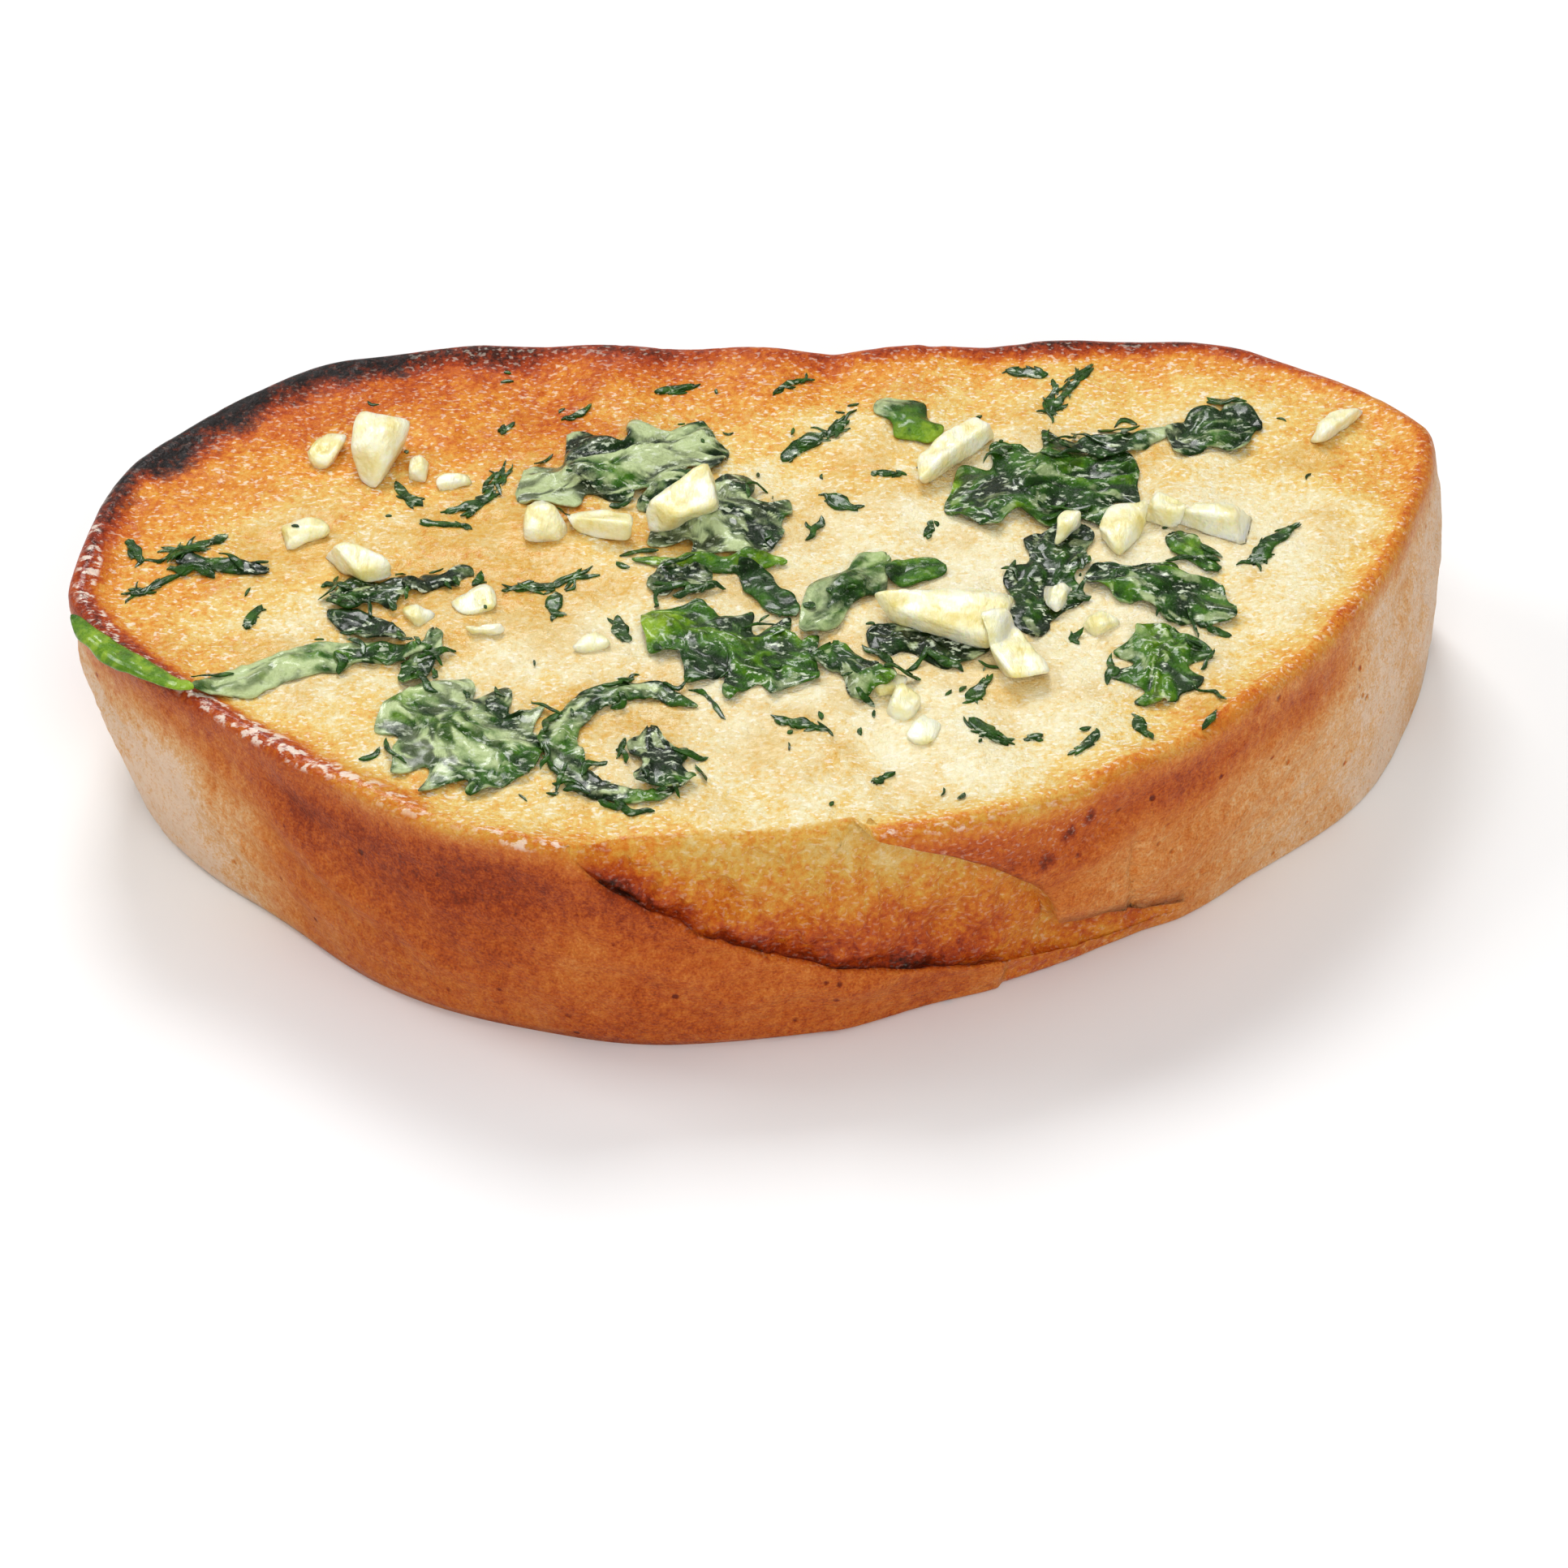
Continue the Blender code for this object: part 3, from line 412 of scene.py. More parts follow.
def face_height(x, y):
    """Height of the upper face: the waves of the crumb, sunk inside the band of crust round it."""
    crumb = np.maximum(smooth_step(inside_rim(x, y) / CRUST_BAND), in_mouth(x, y))
    return THICKNESS - CRUST_STAND * crumb + FACE_SWELL * waves(x, y, FACE_SWELL_SIZE, 3)


def wall_radius(angle, drop):
    """Distance from the middle to the crust at an angle and a drop below the rim."""
    rim = rim_radius(angle) - FINE_INSET
    share = drop / THICKNESS
    headings, insets = np.array(BASE_INSETS).T
    radius = rim - eased(headings, insets, angle) * share + BULGE * np.sin(math.pi * share)
    top = np.clip(1 - drop / EDGE_ROUND, 0.0, 1.0)
    base = np.clip(1 - (THICKNESS - drop) / BASE_ROUND, 0.0, 1.0)
    radius -= EDGE_ROUND * (1 - np.sqrt(1 - top**2)) + BASE_ROUND * (1 - np.sqrt(1 - base**2))
    swell = waves(rim * np.cos(angle), rim * np.sin(angle) + 2 * drop, WALL_SWELL_SIZE, 5)
    return radius + WALL_SWELL * swell * np.sin(math.pi * share)


def disc_grid(squares):
    """A square grid bent into a disc: the share of the radius and the angle of each point, row by row."""
    side = np.linspace(-1.0, 1.0, squares + 1)
    across, up = (a.ravel() for a in np.meshgrid(side, side))
    wide = np.abs(across) >= np.abs(up)
    share = np.where(wide, np.abs(across), np.abs(up))
    safe = np.where(share == 0, 1.0, share)
    along = np.where(wide, up * np.sign(across), -across * np.sign(up)) / safe
    start = np.where(wide, np.where(across < 0, math.pi, 0.0), np.where(up < 0, 1.5, 0.5) * math.pi)
    return share, start + along * math.pi / 4


def border_of(index):
    """The outermost point numbers of a grid, anticlockwise from its first."""
    return np.concatenate([index[0, :-1], index[:-1, -1], index[-1, :0:-1], index[:0:-1, 0]])


def grid_quads(index):
    """The quads of a grid of point numbers, anticlockwise where rows go up and columns go right."""
    corners = (index[:-1, :-1], index[:-1, 1:], index[1:, 1:], index[1:, :-1])
    return vectors(*(corner.ravel() for corner in corners))


def thin_shell(lower, stand, index):
    """Points and quads of a closed shell: a grid turned over, the same grid standing above it by this
    much, and the wall between."""
    quads = grid_quads(index)
    border = border_of(index)
    after = np.roll(border, -1)
    wall = vectors(border, after, after + index.size, border + index.size)
    points = np.concatenate([lower, lower + vectors(0.0, 0.0, stand)])
    return points, np.concatenate([quads[:, ::-1], quads + index.size, wall])


def strip_grid(columns, rows):
    """The grid of a strip: shares of its half width and of its half length, and its point numbers."""
    across, along = np.meshgrid(np.linspace(1, -1, rows + 1), np.linspace(-1, 1, columns + 1))
    return across.ravel(), along.ravel(), np.arange(across.size).reshape(across.shape)


def linked(name, data):
    """An object of this data, in the scene."""
    made = bpy.data.objects.new(name, data)
    bpy.context.scene.collection.objects.link(made)
    return made


def new_piece(name, points, faces, finish, slot, stands_for, marks=None):
    """A smooth closed mesh from points in the plan's millimetres, which rides on the slice.

    marks gives each point, or all of them, four numbers from 0 to 1, which its finish reads by that name.
    """
    mesh = bpy.data.meshes.new(name)
    mesh.from_pydata((points - np.array(PLAN_MIDDLE)) * MM, [], faces)
    if marks is not None:
        layer = mesh.attributes.new("marks", "FLOAT_COLOR", "POINT")
        layer.data.foreach_set("color", np.broadcast_to(np.float32(marks), (len(points), 4)).ravel())
    mesh.materials.append(finish)
    mesh.shade_smooth()
    made = linked(name, mesh)
    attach(made, "root")
    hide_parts(*stands_for)
    return made


# The slice's surface and its marks


def crumb_relief(x, y):
    """Height of the toasted crumb over its slow form: soft lumps, and round pits where they dip."""
    flat = vectors(x, y, 0.0)
    lumps = 0.15 * grain(flat, 3.4, 11) + 0.09 * grain(flat, 1.6, 12)
    pits = np.clip(grain(flat, 1.9, 14) - 0.45, 0, 1) * 0.6
    return lumps - pits


def row_lines(x, y):
    """Drops of the two lines that the wall's rows crowd to: the ear's and the lip's, carried on round."""
    left = LEFT_LIP_ROWS * (1 - np.exp(-np.maximum(LIP_START - x, 0.0) / LIP_RUN))
    front = np.where(x < LIP_START, left, score_lip(x))
    back = np.interp(x, [x.min(), x.max()], [left.max(), front.max()])
    lip = np.where(y < 0, front, back) + 2 * ROW_GAP
    rest = REST_ROW * lip
    past_ear = score_ear(x) + (rest - score_ear(x)) * rise(x, SCORE_END, EAR_ROW_RETURN)
    ear = np.where(x < EAR_START, rest * rise(x, EAR_START, -EAR_ROW_EASE), past_ear)
    return np.minimum(np.where(y < 0, ear, rest), lip - ROW_GAP) + ROW_GAP / 2, lip


def wall_rows(angle):
    """The crust's rows from the rim to the base at these angles: radius, drop, and share of torn crumb.

    A column goes down the crust to the ear's edge, tucks in behind it, runs down the torn band, dips behind
    the lip's edge, and goes down the crust again to the base. Away from the score it is one smooth wall.
    """
    rim = rim_radius(angle)
    x, y = rim * np.cos(angle), rim * np.sin(angle)
    front = y < 0
    ear, lip = row_lines(x, y)
    opened = front * between(x, LIP_START, MOUTH_EASE, SCORE_END, SCORE_CLOSE)
    broken = opened * rise(x, FLAP_END, FLAP_BREAK)
    eared = front * rise(x, EAR_START, EAR_TIP)
    rows = []

    def add(drop, sunk, torn):
        drop = np.clip(drop, 0.0, THICKNESS)
        rows.append((wall_radius(angle, drop) - sunk, drop, np.broadcast_to(torn, angle.shape)))

    ear_true = np.where(front, score_ear(x), 0.0)

    def depth(drop):
        share = np.clip((drop - ear_true) / np.maximum(lip - ear_true, 0.5), 0.0, 1.0)
        shallower = 1 - 0.45 * rise(x, EAR_END, 8.0)
        return (EAR_DEPTH + (LIP_DEPTH - EAR_DEPTH) * share) * shallower * opened

    span = np.maximum(lip - ear, 0.3)
    plain = 1 - eared * opened
    for share in np.linspace(0.0, 1.0, EAR_ROWS) ** 1.3:
        drop = ear * share
        rounding = 0.35 * eared * opened * max(share - 0.9, 0.0) * 10
        add(drop, depth(drop) * (1 - eared) + rounding, opened * (1 - eared))
    tuck = 0.05 * span * plain - EAR_TUCK * 0.5 * (1 - plain)
    add(ear + tuck, depth(ear) * (1 - 0.45 * eared), opened)
    for share in np.linspace(0.0, 1.0, TORN_ROWS) ** 0.9:
        share = 0.1 * plain + (1 - 0.1 * plain - 0.14 * (1 - opened)) * share
        drop = ear + (lip + LIP_POCKET * (opened - broken) - ear) * share
        add(drop, depth(drop), opened)
    torn_off = FLAP_STEP * broken
    add(lip + 0.25 * opened - 0.09 * span * (1 - opened), LIP_DEPTH * 0.62 * opened, opened)
    rounding = np.maximum(LIP_ROUND * opened, torn_off)
    add(lip - 0.04 * span * (1 - opened), rounding, opened * (0.3 + 0.7 * broken))
    for share in np.linspace(0.0, 1.0, FLAP_ROWS)[1:] ** 1.15:
        add(lip + (THICKNESS - lip) * share, torn_off, broken)
    return (np.array(a) for a in zip(*rows))


def wall_relief(points, torn):
    """How far the crust swells out: faint wrinkles and pores, and coarse tears in the score's band."""
    x, y, z = np.moveaxis(points, -1, 0)
    crust = 0.1 * grain(points, 2.6, 21) + 0.06 * grain(points, 1.1, 22) - 0.25
    crust = crust - SEAM_DEPTH * bell(x, SEAM_X, SEAM_WIDTH) * (y < 0) * rise(z, SEAM_TOP, -4.0)
    tears = 0.75 * layered(points * (1, 1, 1.3), 3.0, 24) + 0.4 * grain(points, 1.0, 27)
    tears -= 1.2 * np.clip(grain(points, 2.4, 28) - 0.35, 0, 1)
    tears = tears * (1 - 0.7 * rise(x, 20, 6)) - 0.1
    return crust * (1 - torn) + tears * torn


def slice_surface():
    """The whole slice as one closed surface: the face's disc grid, the wall's rows and the base's rings.

    Returns points, faces, and each point's marks: toast, char, butter and crust.
    """
    share, angle = disc_grid(FACE_SQUARES)
    index = np.arange(len(share)).reshape(FACE_SQUARES + 1, -1)
    edge = border_of(index)
    radius, drop, torn = wall_rows(angle[edge])
    around = angle[edge]

    whole = wall_radius(angle, np.zeros_like(angle))
    inset = whole - np.interp(angle, around, radius[0], period=2 * math.pi)
    reach = whole * share - inset * rise(share, EDGE_SHARE, 1 - EDGE_SHARE)
    x, y = reach * np.cos(angle), reach * np.sin(angle)
    z = face_height(x, y) + crumb_relief(x, y) * (1 - 0.6 * rise(share, 0.95, 0.05))
    face = vectors(x, y, z)

    outward = vectors(np.cos(around), np.sin(around), 0.0)
    height = z[edge] * (1 - drop[1:] / THICKNESS)
    wall = radius[1:, :, None] * outward + vectors(0.0, 0.0, height)
    fade = smooth_step(drop[1:] / 1.5) * rise(drop[1:], THICKNESS, -1.0)
    wall += (wall_relief(wall, torn[1:]) * fade)[..., None] * outward

    ring_share = np.linspace(1.0, 0.0, BASE_RINGS + 1)[1:-1]
    base = wall[-1][None] * ring_share[:, None, None]
    points = np.concatenate([face, wall.reshape(-1, 3), base.reshape(-1, 3), np.zeros((1, 3))])

    rings = len(face) + np.arange((len(wall) + len(base)) * len(edge)).reshape(-1, len(edge))
    rings = np.concatenate([edge[None, :], rings])
    rings = np.concatenate([rings, rings[:, :1]], axis=1)
    fan = vectors(rings[-1, 1:], rings[-1, :-1], len(points) - 1)
    faces = [*grid_quads(index), *grid_quads(rings[::-1]), *fan]

    marks = np.zeros((len(points), 4))
    marks[: len(face)] = face_marks(x, y)
    wall_part = slice(len(face), len(face) + drop[1:].size)
    marks[wall_part] = wall_marks(wall, drop[1:], torn[1:], marks[edge]).reshape(-1, 4)
    marks[wall_part.stop :] = BASE_MARKS
    return points, faces, marks


def face_marks(x, y):
    """Toast, char, butter and crust of the face: browned along the rim, golden to the left and the back."""
    angle = np.arctan2(y, x)
    heading = np.degrees(angle) % 360
    flat = vectors(x, y, 0.0)
    inside = inside_rim(x, y)
    headings, widths, browning, glows = np.array(RIM_TOAST).T
    ragged = 1 + 0.35 * layered(flat, 5.0, 31)
    band = (1 - smooth_step(inside / (eased(headings, widths, angle) * ragged))) ** 0.75
    toast = eased(headings, browning, angle) * band
    glow = 0.56 * np.exp(-np.maximum(inside, 0.0) / (eased(headings, glows, angle) * ragged))
    golden = 0.13 + 0.11 * rise(x, 16, -60) + 0.16 * rise(y, 4, 30)
    golden += 0.07 * rise(y, -5, 6) * rise(x, 10, -30) + 0.1 * layered(flat, 9.0, 35)
    toast = np.maximum(toast, golden + glow * (1 - golden)) + 0.05 * grain(flat, 1.4, 38)
    burnt = between(heading, *CHARRED)
    char = smooth_step((burnt * 5.2 * ragged + 1.5 * layered(flat, 2.4, 39) - inside) / 3.0) * burnt
    butter = 0.6 * layered(flat, 4.0, 41) - 0.05
    soaked = [(leaf.x, leaf.y, 0.4 * min(leaf.length, 20.0), 0.4) for leaf in LEAVES]
    for pool_x, pool_y, radius, strength in BUTTER_POOLS + soaked:
        butter += strength * spot(x - pool_x, y - pool_y, radius)
    # Along these headings butter stands as a film at the rim: a glossy coat, and where browned a painted
    # highlight in the finish.
    gloss_and_gleam = between(heading, *BUTTERY_LEFT) + 0.85 * between(heading, *BUTTERY_RIGHT)
    film = smooth_step((1 + gloss_and_gleam) * (1 - inside / (2.0 + 3.0 * gloss_and_gleam * (heading < 240))))
    butter = np.maximum(np.minimum(butter, 0.7), (0.8 + 0.2 * gloss_and_gleam) * film)
    return np.clip(vectors(toast, char, butter, 0.0), 0.0, 1.0)


def wall_marks(points, drop, torn, rim):
    """Toast, char, butter and crust of the wall: darkest just under the rim, and pale at both ends, the
    far-left end partly as a painted sheen, with painted shade in crack lines and pits.
    """
    x, y, _ = np.moveaxis(points, -1, 0)
    headings, levels = np.array(WALL_BAKE).T
    left = rise(x, -34, -10) * rise(y, 8, -14)
    right = rise(x, 30, 10)
    under_rim = bell(drop, 5.5 - 1.5 * right, 4.5 - 0.8 * right)
    bake = eased(headings, levels, np.arctan2(y, x))
    bake += (0.18 + 0.2 * right) * under_rim * (1 - 0.8 * rise(x, 54, 7))
    bake += 0.14 * layered(points * (1, 1, 0.6), 8.0, 51) + 0.08 * layered(points, 2.2, 53)
    roll = between(x, *ROLLED) * (y < 0) * bell(np.maximum(drop, 2.5), 2.5, 4.0)
    bake += (0.7 - bake) * 0.8 * roll
    # Painted shade: dark lines where the crust is cracked at the far left.
    crack_shade = bell(grain(points * (1, 1, 0.8), 3.0, 58), 0.0, 0.07) * rise(x, -44, -8)
    bake = np.minimum(bake, 0.86) + 0.16 * crack_shade + 0.16 * left * bell(drop, 4.0, 3.0)
    # Painted shade of the pits.
    for pit_x, down, radius in PIT_SHADES:
        bake += 0.6 * spot(x - pit_x, drop - down, radius) * (y < 0)
    bake += (rim[None, :, 0] * 0.9 - bake) * (1 - smooth_step(drop / (3.5 + 3 * left)))
    lip = score_lip(x)
    ripped = 0.32 + 0.36 * rise(drop / np.maximum(lip, 2.0), 0.1, 0.9) + 0.06 * rise(x, 12, 14)
    ripped += 0.18 * np.exp(-np.maximum(lip - drop, 0.0) / 1.6) * rise(x, 24, -10)
    ripped += 0.2 * rise(x, -3, -12) - 0.18 * rise(x, 16, 13)
    ripped += 0.12 * layered(points, 3.0, 55) + 0.08 * grain(points, 0.8, 57)
    toast = bake * (1 - torn) + ripped * torn
    char = rim[None, :, 1] * np.exp(-drop / 5.0)
    # Butter is thickest just under the rim: it gives the coat, and on browned crust a painted highlight in
    # the finish.
    butter = (np.exp(-drop / 3.0) + 0.25 * layered(points, 6.0, 56)) * (1 - torn) + 0.8 * torn
    crust = (1 - torn) * smooth_step(drop / 1.6) * (1 - 0.75 * roll)
    return np.clip(vectors(toast, char, butter, crust), 0.0, 1.0)


# What lies on the slice


class Ground:
    """A map of how high everything laid so far reaches, in millimetres."""

    def __init__(self):
        reach_x, reach_y = GROUND_REACH
        self.xs = np.arange(-reach_x, reach_x + GROUND_STEP, GROUND_STEP)
        self.ys = np.arange(-reach_y, reach_y + GROUND_STEP, GROUND_STEP)
        x, y = np.meshgrid(self.xs, self.ys)
        off_rim = SLOPE_OFF_RIM * np.maximum(-inside_rim(x, y), 0.0)
        self.height = face_height(x, y) + crumb_relief(x, y) - off_rim

    def cells(self, x, y):
        """The map's rows and columns nearest to these places."""
        column = np.rint((x - self.xs[0]) / GROUND_STEP).astype(int)
        row = np.rint((y - self.ys[0]) / GROUND_STEP).astype(int)
        return np.clip(row, 0, len(self.ys) - 1), np.clip(column, 0, len(self.xs) - 1)

    def drape(self, x, y):
        """The height of a limp thing at these places: it bridges small hollows and rounds off steps."""
        row, column = self.cells(x, y)
        top, left = max(row.min() - DRAPE_PAD, 0), max(column.min() - DRAPE_PAD, 0)
        part = self.height[top : row.max() + DRAPE_PAD, left : column.max() + DRAPE_PAD]
        raised, cells = part.copy(), int(round(DRAPE_REACH / GROUND_STEP))
        for up in range(-cells, cells + 1):
            for over in range(-cells, cells + 1):
                if up * up + over * over <= cells * cells:
                    raised = np.maximum(raised, np.roll(part, (up, over), (0, 1)))
        for _ in range(DRAPE_BLUR):
            for axis in (0, 1):
                raised = (np.roll(raised, 1, axis) + 2 * raised + np.roll(raised, -1, axis)) / 4
        across, up = (x - self.xs[left]) / GROUND_STEP, (y - self.ys[top]) / GROUND_STEP
        across = np.clip(across, 0, raised.shape[1] - 1.001)
        up = np.clip(up, 0, raised.shape[0] - 1.001)
        i, j = up.astype(int), across.astype(int)
        u, v = up - i, across - j
        low = raised[i, j] * (1 - v) + raised[i, j + 1] * v
        high = raised[i + 1, j] * (1 - v) + raised[i + 1, j + 1] * v
        return low * (1 - u) + high * u

    def pile(self, points):
        """Raises the map to these points."""
        row, column = self.cells(points[:, 0], points[:, 1])
        np.maximum.at(self.height, (row, column), points[:, 2])


def spine(x, y, length, heading, bend, along, side=0.0):
    """Places beside a spine of even curvature, at shares of its half length, and its heading there."""
    turn = math.radians(bend) or 1e-6
    start = math.radians(heading)
    here = start + turn * along / 2
    radius = length / turn
    x = x + radius * (np.sin(here) - math.sin(start)) - side * np.sin(here)
    y = y - radius * (np.cos(here) - math.cos(start)) + side * np.cos(here)
    return x, y, here


def leaf_surface(leaf, ground, seed):
    """A wilted leaf as a closed thin shell over two parameters, along its spine and across it.

    Its half width is a taper times lobes, plus small teeth. Its height is the drape of what lies under it,
    plus a crown, plus folds and creases: the sharp valleys where slow grain changes sign. Its marks are
    young green, fresher on raised places as a painted highlight; pallor, its own in patches and painted
    highlight on ridges, streaks and wet places; dark, a painted shade in creases, low places and streaks;
    and wetness.
    """
    columns = max(int(round(leaf.length / LEAF_SQUARE)), 12)
    rows = max(int(round(leaf.width / LEAF_SQUARE)), 7)
    across, along, index = strip_grid(columns, rows)
    side_sign = np.sign(across)
    taper = 0.06 + 0.94 * (1 - np.abs(along) ** 2.4) ** 0.6
    lobed = leaf.lobes > 0
    lobe = 1 + lobed * LOBE_DEPTH * np.cos(math.pi * leaf.lobes * (along + 0.25 * side_sign))
    length_mm = along * leaf.length / 2
    tooth = vectors(length_mm, side_sign * 40, 7.0 * seed)
    rough = min(leaf.torn * 1.6, 1.0)
    stiff = min(leaf.width / STIFF_WIDTH, 1.0)
    ragged = 0.07 * leaf.width * grain(tooth, 2.9, 62) + (0.34 - 0.14 * stiff) * grain(tooth, 0.9, 61)
    side = across * (leaf.width / 2 * taper * lobe + rough * ragged * np.minimum(2.5 * taper, 1.0))
    swept = along + lobed * LOBE_SWEEP * (1 - along**2) * (np.abs(across) - 0.5)
    x, y, _ = spine(leaf.x, leaf.y, leaf.length, leaf.heading, leaf.bend, swept, side)
    own = vectors(length_mm, side, 9.0 * seed)
    wander = (0.6 + 0.25 * stiff) * (0.3 + 0.7 * rough)
    x += wander * grain(own, 1.7 + stiff, 70)
    y += wander * grain(own, 1.7 + stiff, 71)
    crown = (1 - along**2) * (1 - across**2) * (0.6 + 0.4 * waves(x, y, 6.0, len(leaf.name)))
    bent = own + 0.7 * grain(own, 3.0, 68)[:, None]
    creases = np.abs(grain(bent * (0.45, 1.0, 1.0), 2.0, 63)) + 0.4 * np.abs(grain(bent, 1.2, 64))
    veins = 0.12 * np.cos(2 * math.pi * (length_mm - 1.1 * np.abs(side)) / 3.0) * (1 - across**2)
    rib = -0.3 * bell(side, 0.0, 0.35) * (1 - along**2)
    curl = np.clip(grain(own * (0.35, 0.0, 1.0) + (0, 5, 0), 2.0, 65), -0.3, 1) * across**4
    folds = 0.9 * stiff * (np.abs(grain(bent * (0.6, 1.0, 1.0), 4.2, 74)) - 0.25)
    relief = folds + (creases - 0.35) * (0.35 + 0.65 * stiff) + (veins + rib + 0.9 * curl) * stiff
    relief *= 0.3 + 0.7 * rough
    low = ground.drape(x, y) + GAP + leaf.lift * np.maximum(crown, 0.0) + np.maximum(relief, -0.1)
    points, faces = thin_shell(vectors(x, y, low), LEAF_THICKNESS, index)

    wet = np.clip(min(leaf.torn * 1.4, 1.0) * (1 + 1.4 * leaf.tip * along), 0.0, 1.0)
    # Streaks stand for fine wrinkles: painted highlight along their ridges and painted shade in their
    # valleys.
    streaks = grain(bent * (0.25, 1.1, 1.0), 1.0, 75) + 0.5 * grain(bent * (0.3, 1.2, 1.0), 0.6, 76)
    # Painted highlight: white wet glints on raised places.
    painted_wet_glints = rise(grain(bent * (0.6, 1.4, 1.0), 0.9, 77) + 0.3 * relief, 0.34, 0.2)
    # Raised relief is painted a lighter, fresher green, a painted highlight; the rest is the leaf's own
    # green.
    young = leaf.young + 0.4 * grain(own, 4.5, 66) + 0.3 * relief - 0.5 * leaf.tip * along
    pale = leaf.pale * (0.35 + 0.9 * smooth_step(0.5 + 0.9 * grain(own, 4.5, 67))) - leaf.fade * along
    # Ridges of the relief get painted highlight, and streaks and wet places add theirs, on top of the
    # leaf's own pallor.
    pale += (0.1 + 0.5 * leaf.pale) * rise(relief, 0.25, 0.35) - 0.1
    pale += 0.6 * streaks * leaf.pale + 0.6 * wet * painted_wet_glints
    # dark is painted shade: in creases, low relief and the streaks' valleys, and none where wet glints are
    # painted.
    dark = np.maximum(rise(creases, 0.2, -0.2), rise(relief, -0.05, -0.2))
    dark = np.maximum(dark, 0.9 * rise(streaks, -0.2, -0.3) * (0.3 + 0.7 * wet)) * (1 - painted_wet_glints)
    marks = np.clip(vectors(young, pale, dark, wet), 0, 1)
    return points, faces, np.concatenate([marks, marks])


def cut_planes(seed):
    """Directions and distances of the knife cuts that bound a piece whose half sizes are 1."""
    draw = np.random.default_rng(seed)
    box = np.array([(1, 0, 0), (-1, 0, 0), (0, 1, 0), (0, -1, 0), (0, 0, 1), (0, 0, -1)], float)
    corners = draw.normal(size=(CORNER_CUTS, 3))
    normals = np.concatenate([box + draw.normal(scale=CUT_TILT, size=box.shape), corners])
    normals /= np.linalg.norm(normals, axis=1)[:, None]
    return normals, np.append(np.full(len(box), CUT_DISTANCE), draw.uniform(0.85, 1.05, CORNER_CUTS))


def chunk_points(chunk, directions, seed):
    """Points of a chopped piece: a ball's directions, each stopped at the nearest of the knife cuts.

    The reach is a sum of high powers of the cuts' closeness, which rounds the edges between them.
    """
    normals, distances = cut_planes(seed)
    facing = np.maximum(directions @ normals.T, 1e-6)
    reach = ((facing / distances) ** 10).sum(axis=1) ** -0.1
    scaled = directions * reach[:, None]
    narrowed = 1 - chunk.taper * (0.5 - scaled[:, 0] / 2)
    scaled[:, 1] *= narrowed
    scaled[:, 2] *= (1 + narrowed) / 2
    scaled *= (chunk.length / 2, chunk.width / 2, chunk.height / 2)
    cos, sin = math.cos(math.radians(chunk.heading)), math.sin(math.radians(chunk.heading))
    x = chunk.x + scaled[:, 0] * cos - scaled[:, 1] * sin
    y = chunk.y + scaled[:, 0] * sin + scaled[:, 1] * cos
    return vectors(x, y, scaled[:, 2])


def ball(columns, rows):
    """Directions and faces of a ball: a grid of longitude and latitude, closed by a fan at each pole."""
    latitude = np.linspace(-math.pi / 2, math.pi / 2, rows + 1)[1:-1]
    longitude = np.linspace(0, 2 * math.pi, columns, endpoint=False)
    lon, lat = (a.ravel() for a in np.meshgrid(longitude, latitude))
    body = vectors(np.cos(lat) * np.cos(lon), np.cos(lat) * np.sin(lon), np.sin(lat))
    index = np.arange(len(body)).reshape(rows - 1, columns)
    index = np.concatenate([index, index[:, :1]], axis=1)
    south = vectors(index[0, 1:], index[0, :-1], len(body))
    north = vectors(index[-1, :-1], index[-1, 1:], len(body) + 1)
    return np.concatenate([body, [(0, 0, -1), (0, 0, 1)]]), [*grid_quads(index), *south, *north]


def garlic_skin(points, size):
    """How far garlic swells from its plain cut form: fine grooves along its fibres, and soft dents."""
    soft = 0.14 * grain(points, size / 3, 72) + 0.16 * grain(points, 1.3, 73)
    return 0.1 * grain(points * (3.0, 1.0, 1.0), 1.6, 71) + soft - 0.08


def chunk_surface(chunk, ground, seed):
    """A chopped piece that rests on the ground, with its underside following what it lies on.

    Where the ground rises into it, its upper side stays above by CHUNK_KEPT of its height over its middle.
    """
    directions, faces = ball(*(FINE_BALL if chunk.length > LONG_CHUNK else PLAIN_BALL))
    points = chunk_points(chunk, directions, seed)
    points += directions * garlic_skin(points + 3.0 * seed, chunk.width)[:, None]
    floor = ground.drape(points[:, 0], points[:, 1]) + CHUNK_GAP
    middle = np.median(floor) + chunk.height / 2 - CHUNK_SUNK
    kept = CHUNK_KEPT * np.maximum(points[:, 2], 0.0)
    points[:, 2] = np.maximum(points[:, 2] + middle, floor + kept)
    return points, faces


def joined(parts):
    """Points and faces of several meshes as one."""
    points, faces, start = [], [], 0
    for part_points, part_faces in parts:
        points.append(part_points)
        faces += [tuple(int(n) + start for n in face) for face in part_faces]
        start += len(part_points)
    return np.concatenate(points), faces


def crumb_surface(row, seed):
    """A garlic crumb, sunk a third of its height into the crumb of the slice."""
    chunk = Chunk("crumb", *row)
    directions, faces = ball(*CRUMB_BALL)
    points = chunk_points(chunk, directions, seed)
    points += directions * garlic_skin(points + 5.0 * seed, chunk.width)[:, None]
    points[:, 2] += face_height(np.array([chunk.x]), np.array([chunk.y])) + chunk.height / 6
    return points, faces


def strand_half(width, along):
    """Half the width of a strand at shares of its half length, rounded to a point at both ends."""
    return width / 2 * (1 - np.abs(along) ** 2.5) ** 0.5


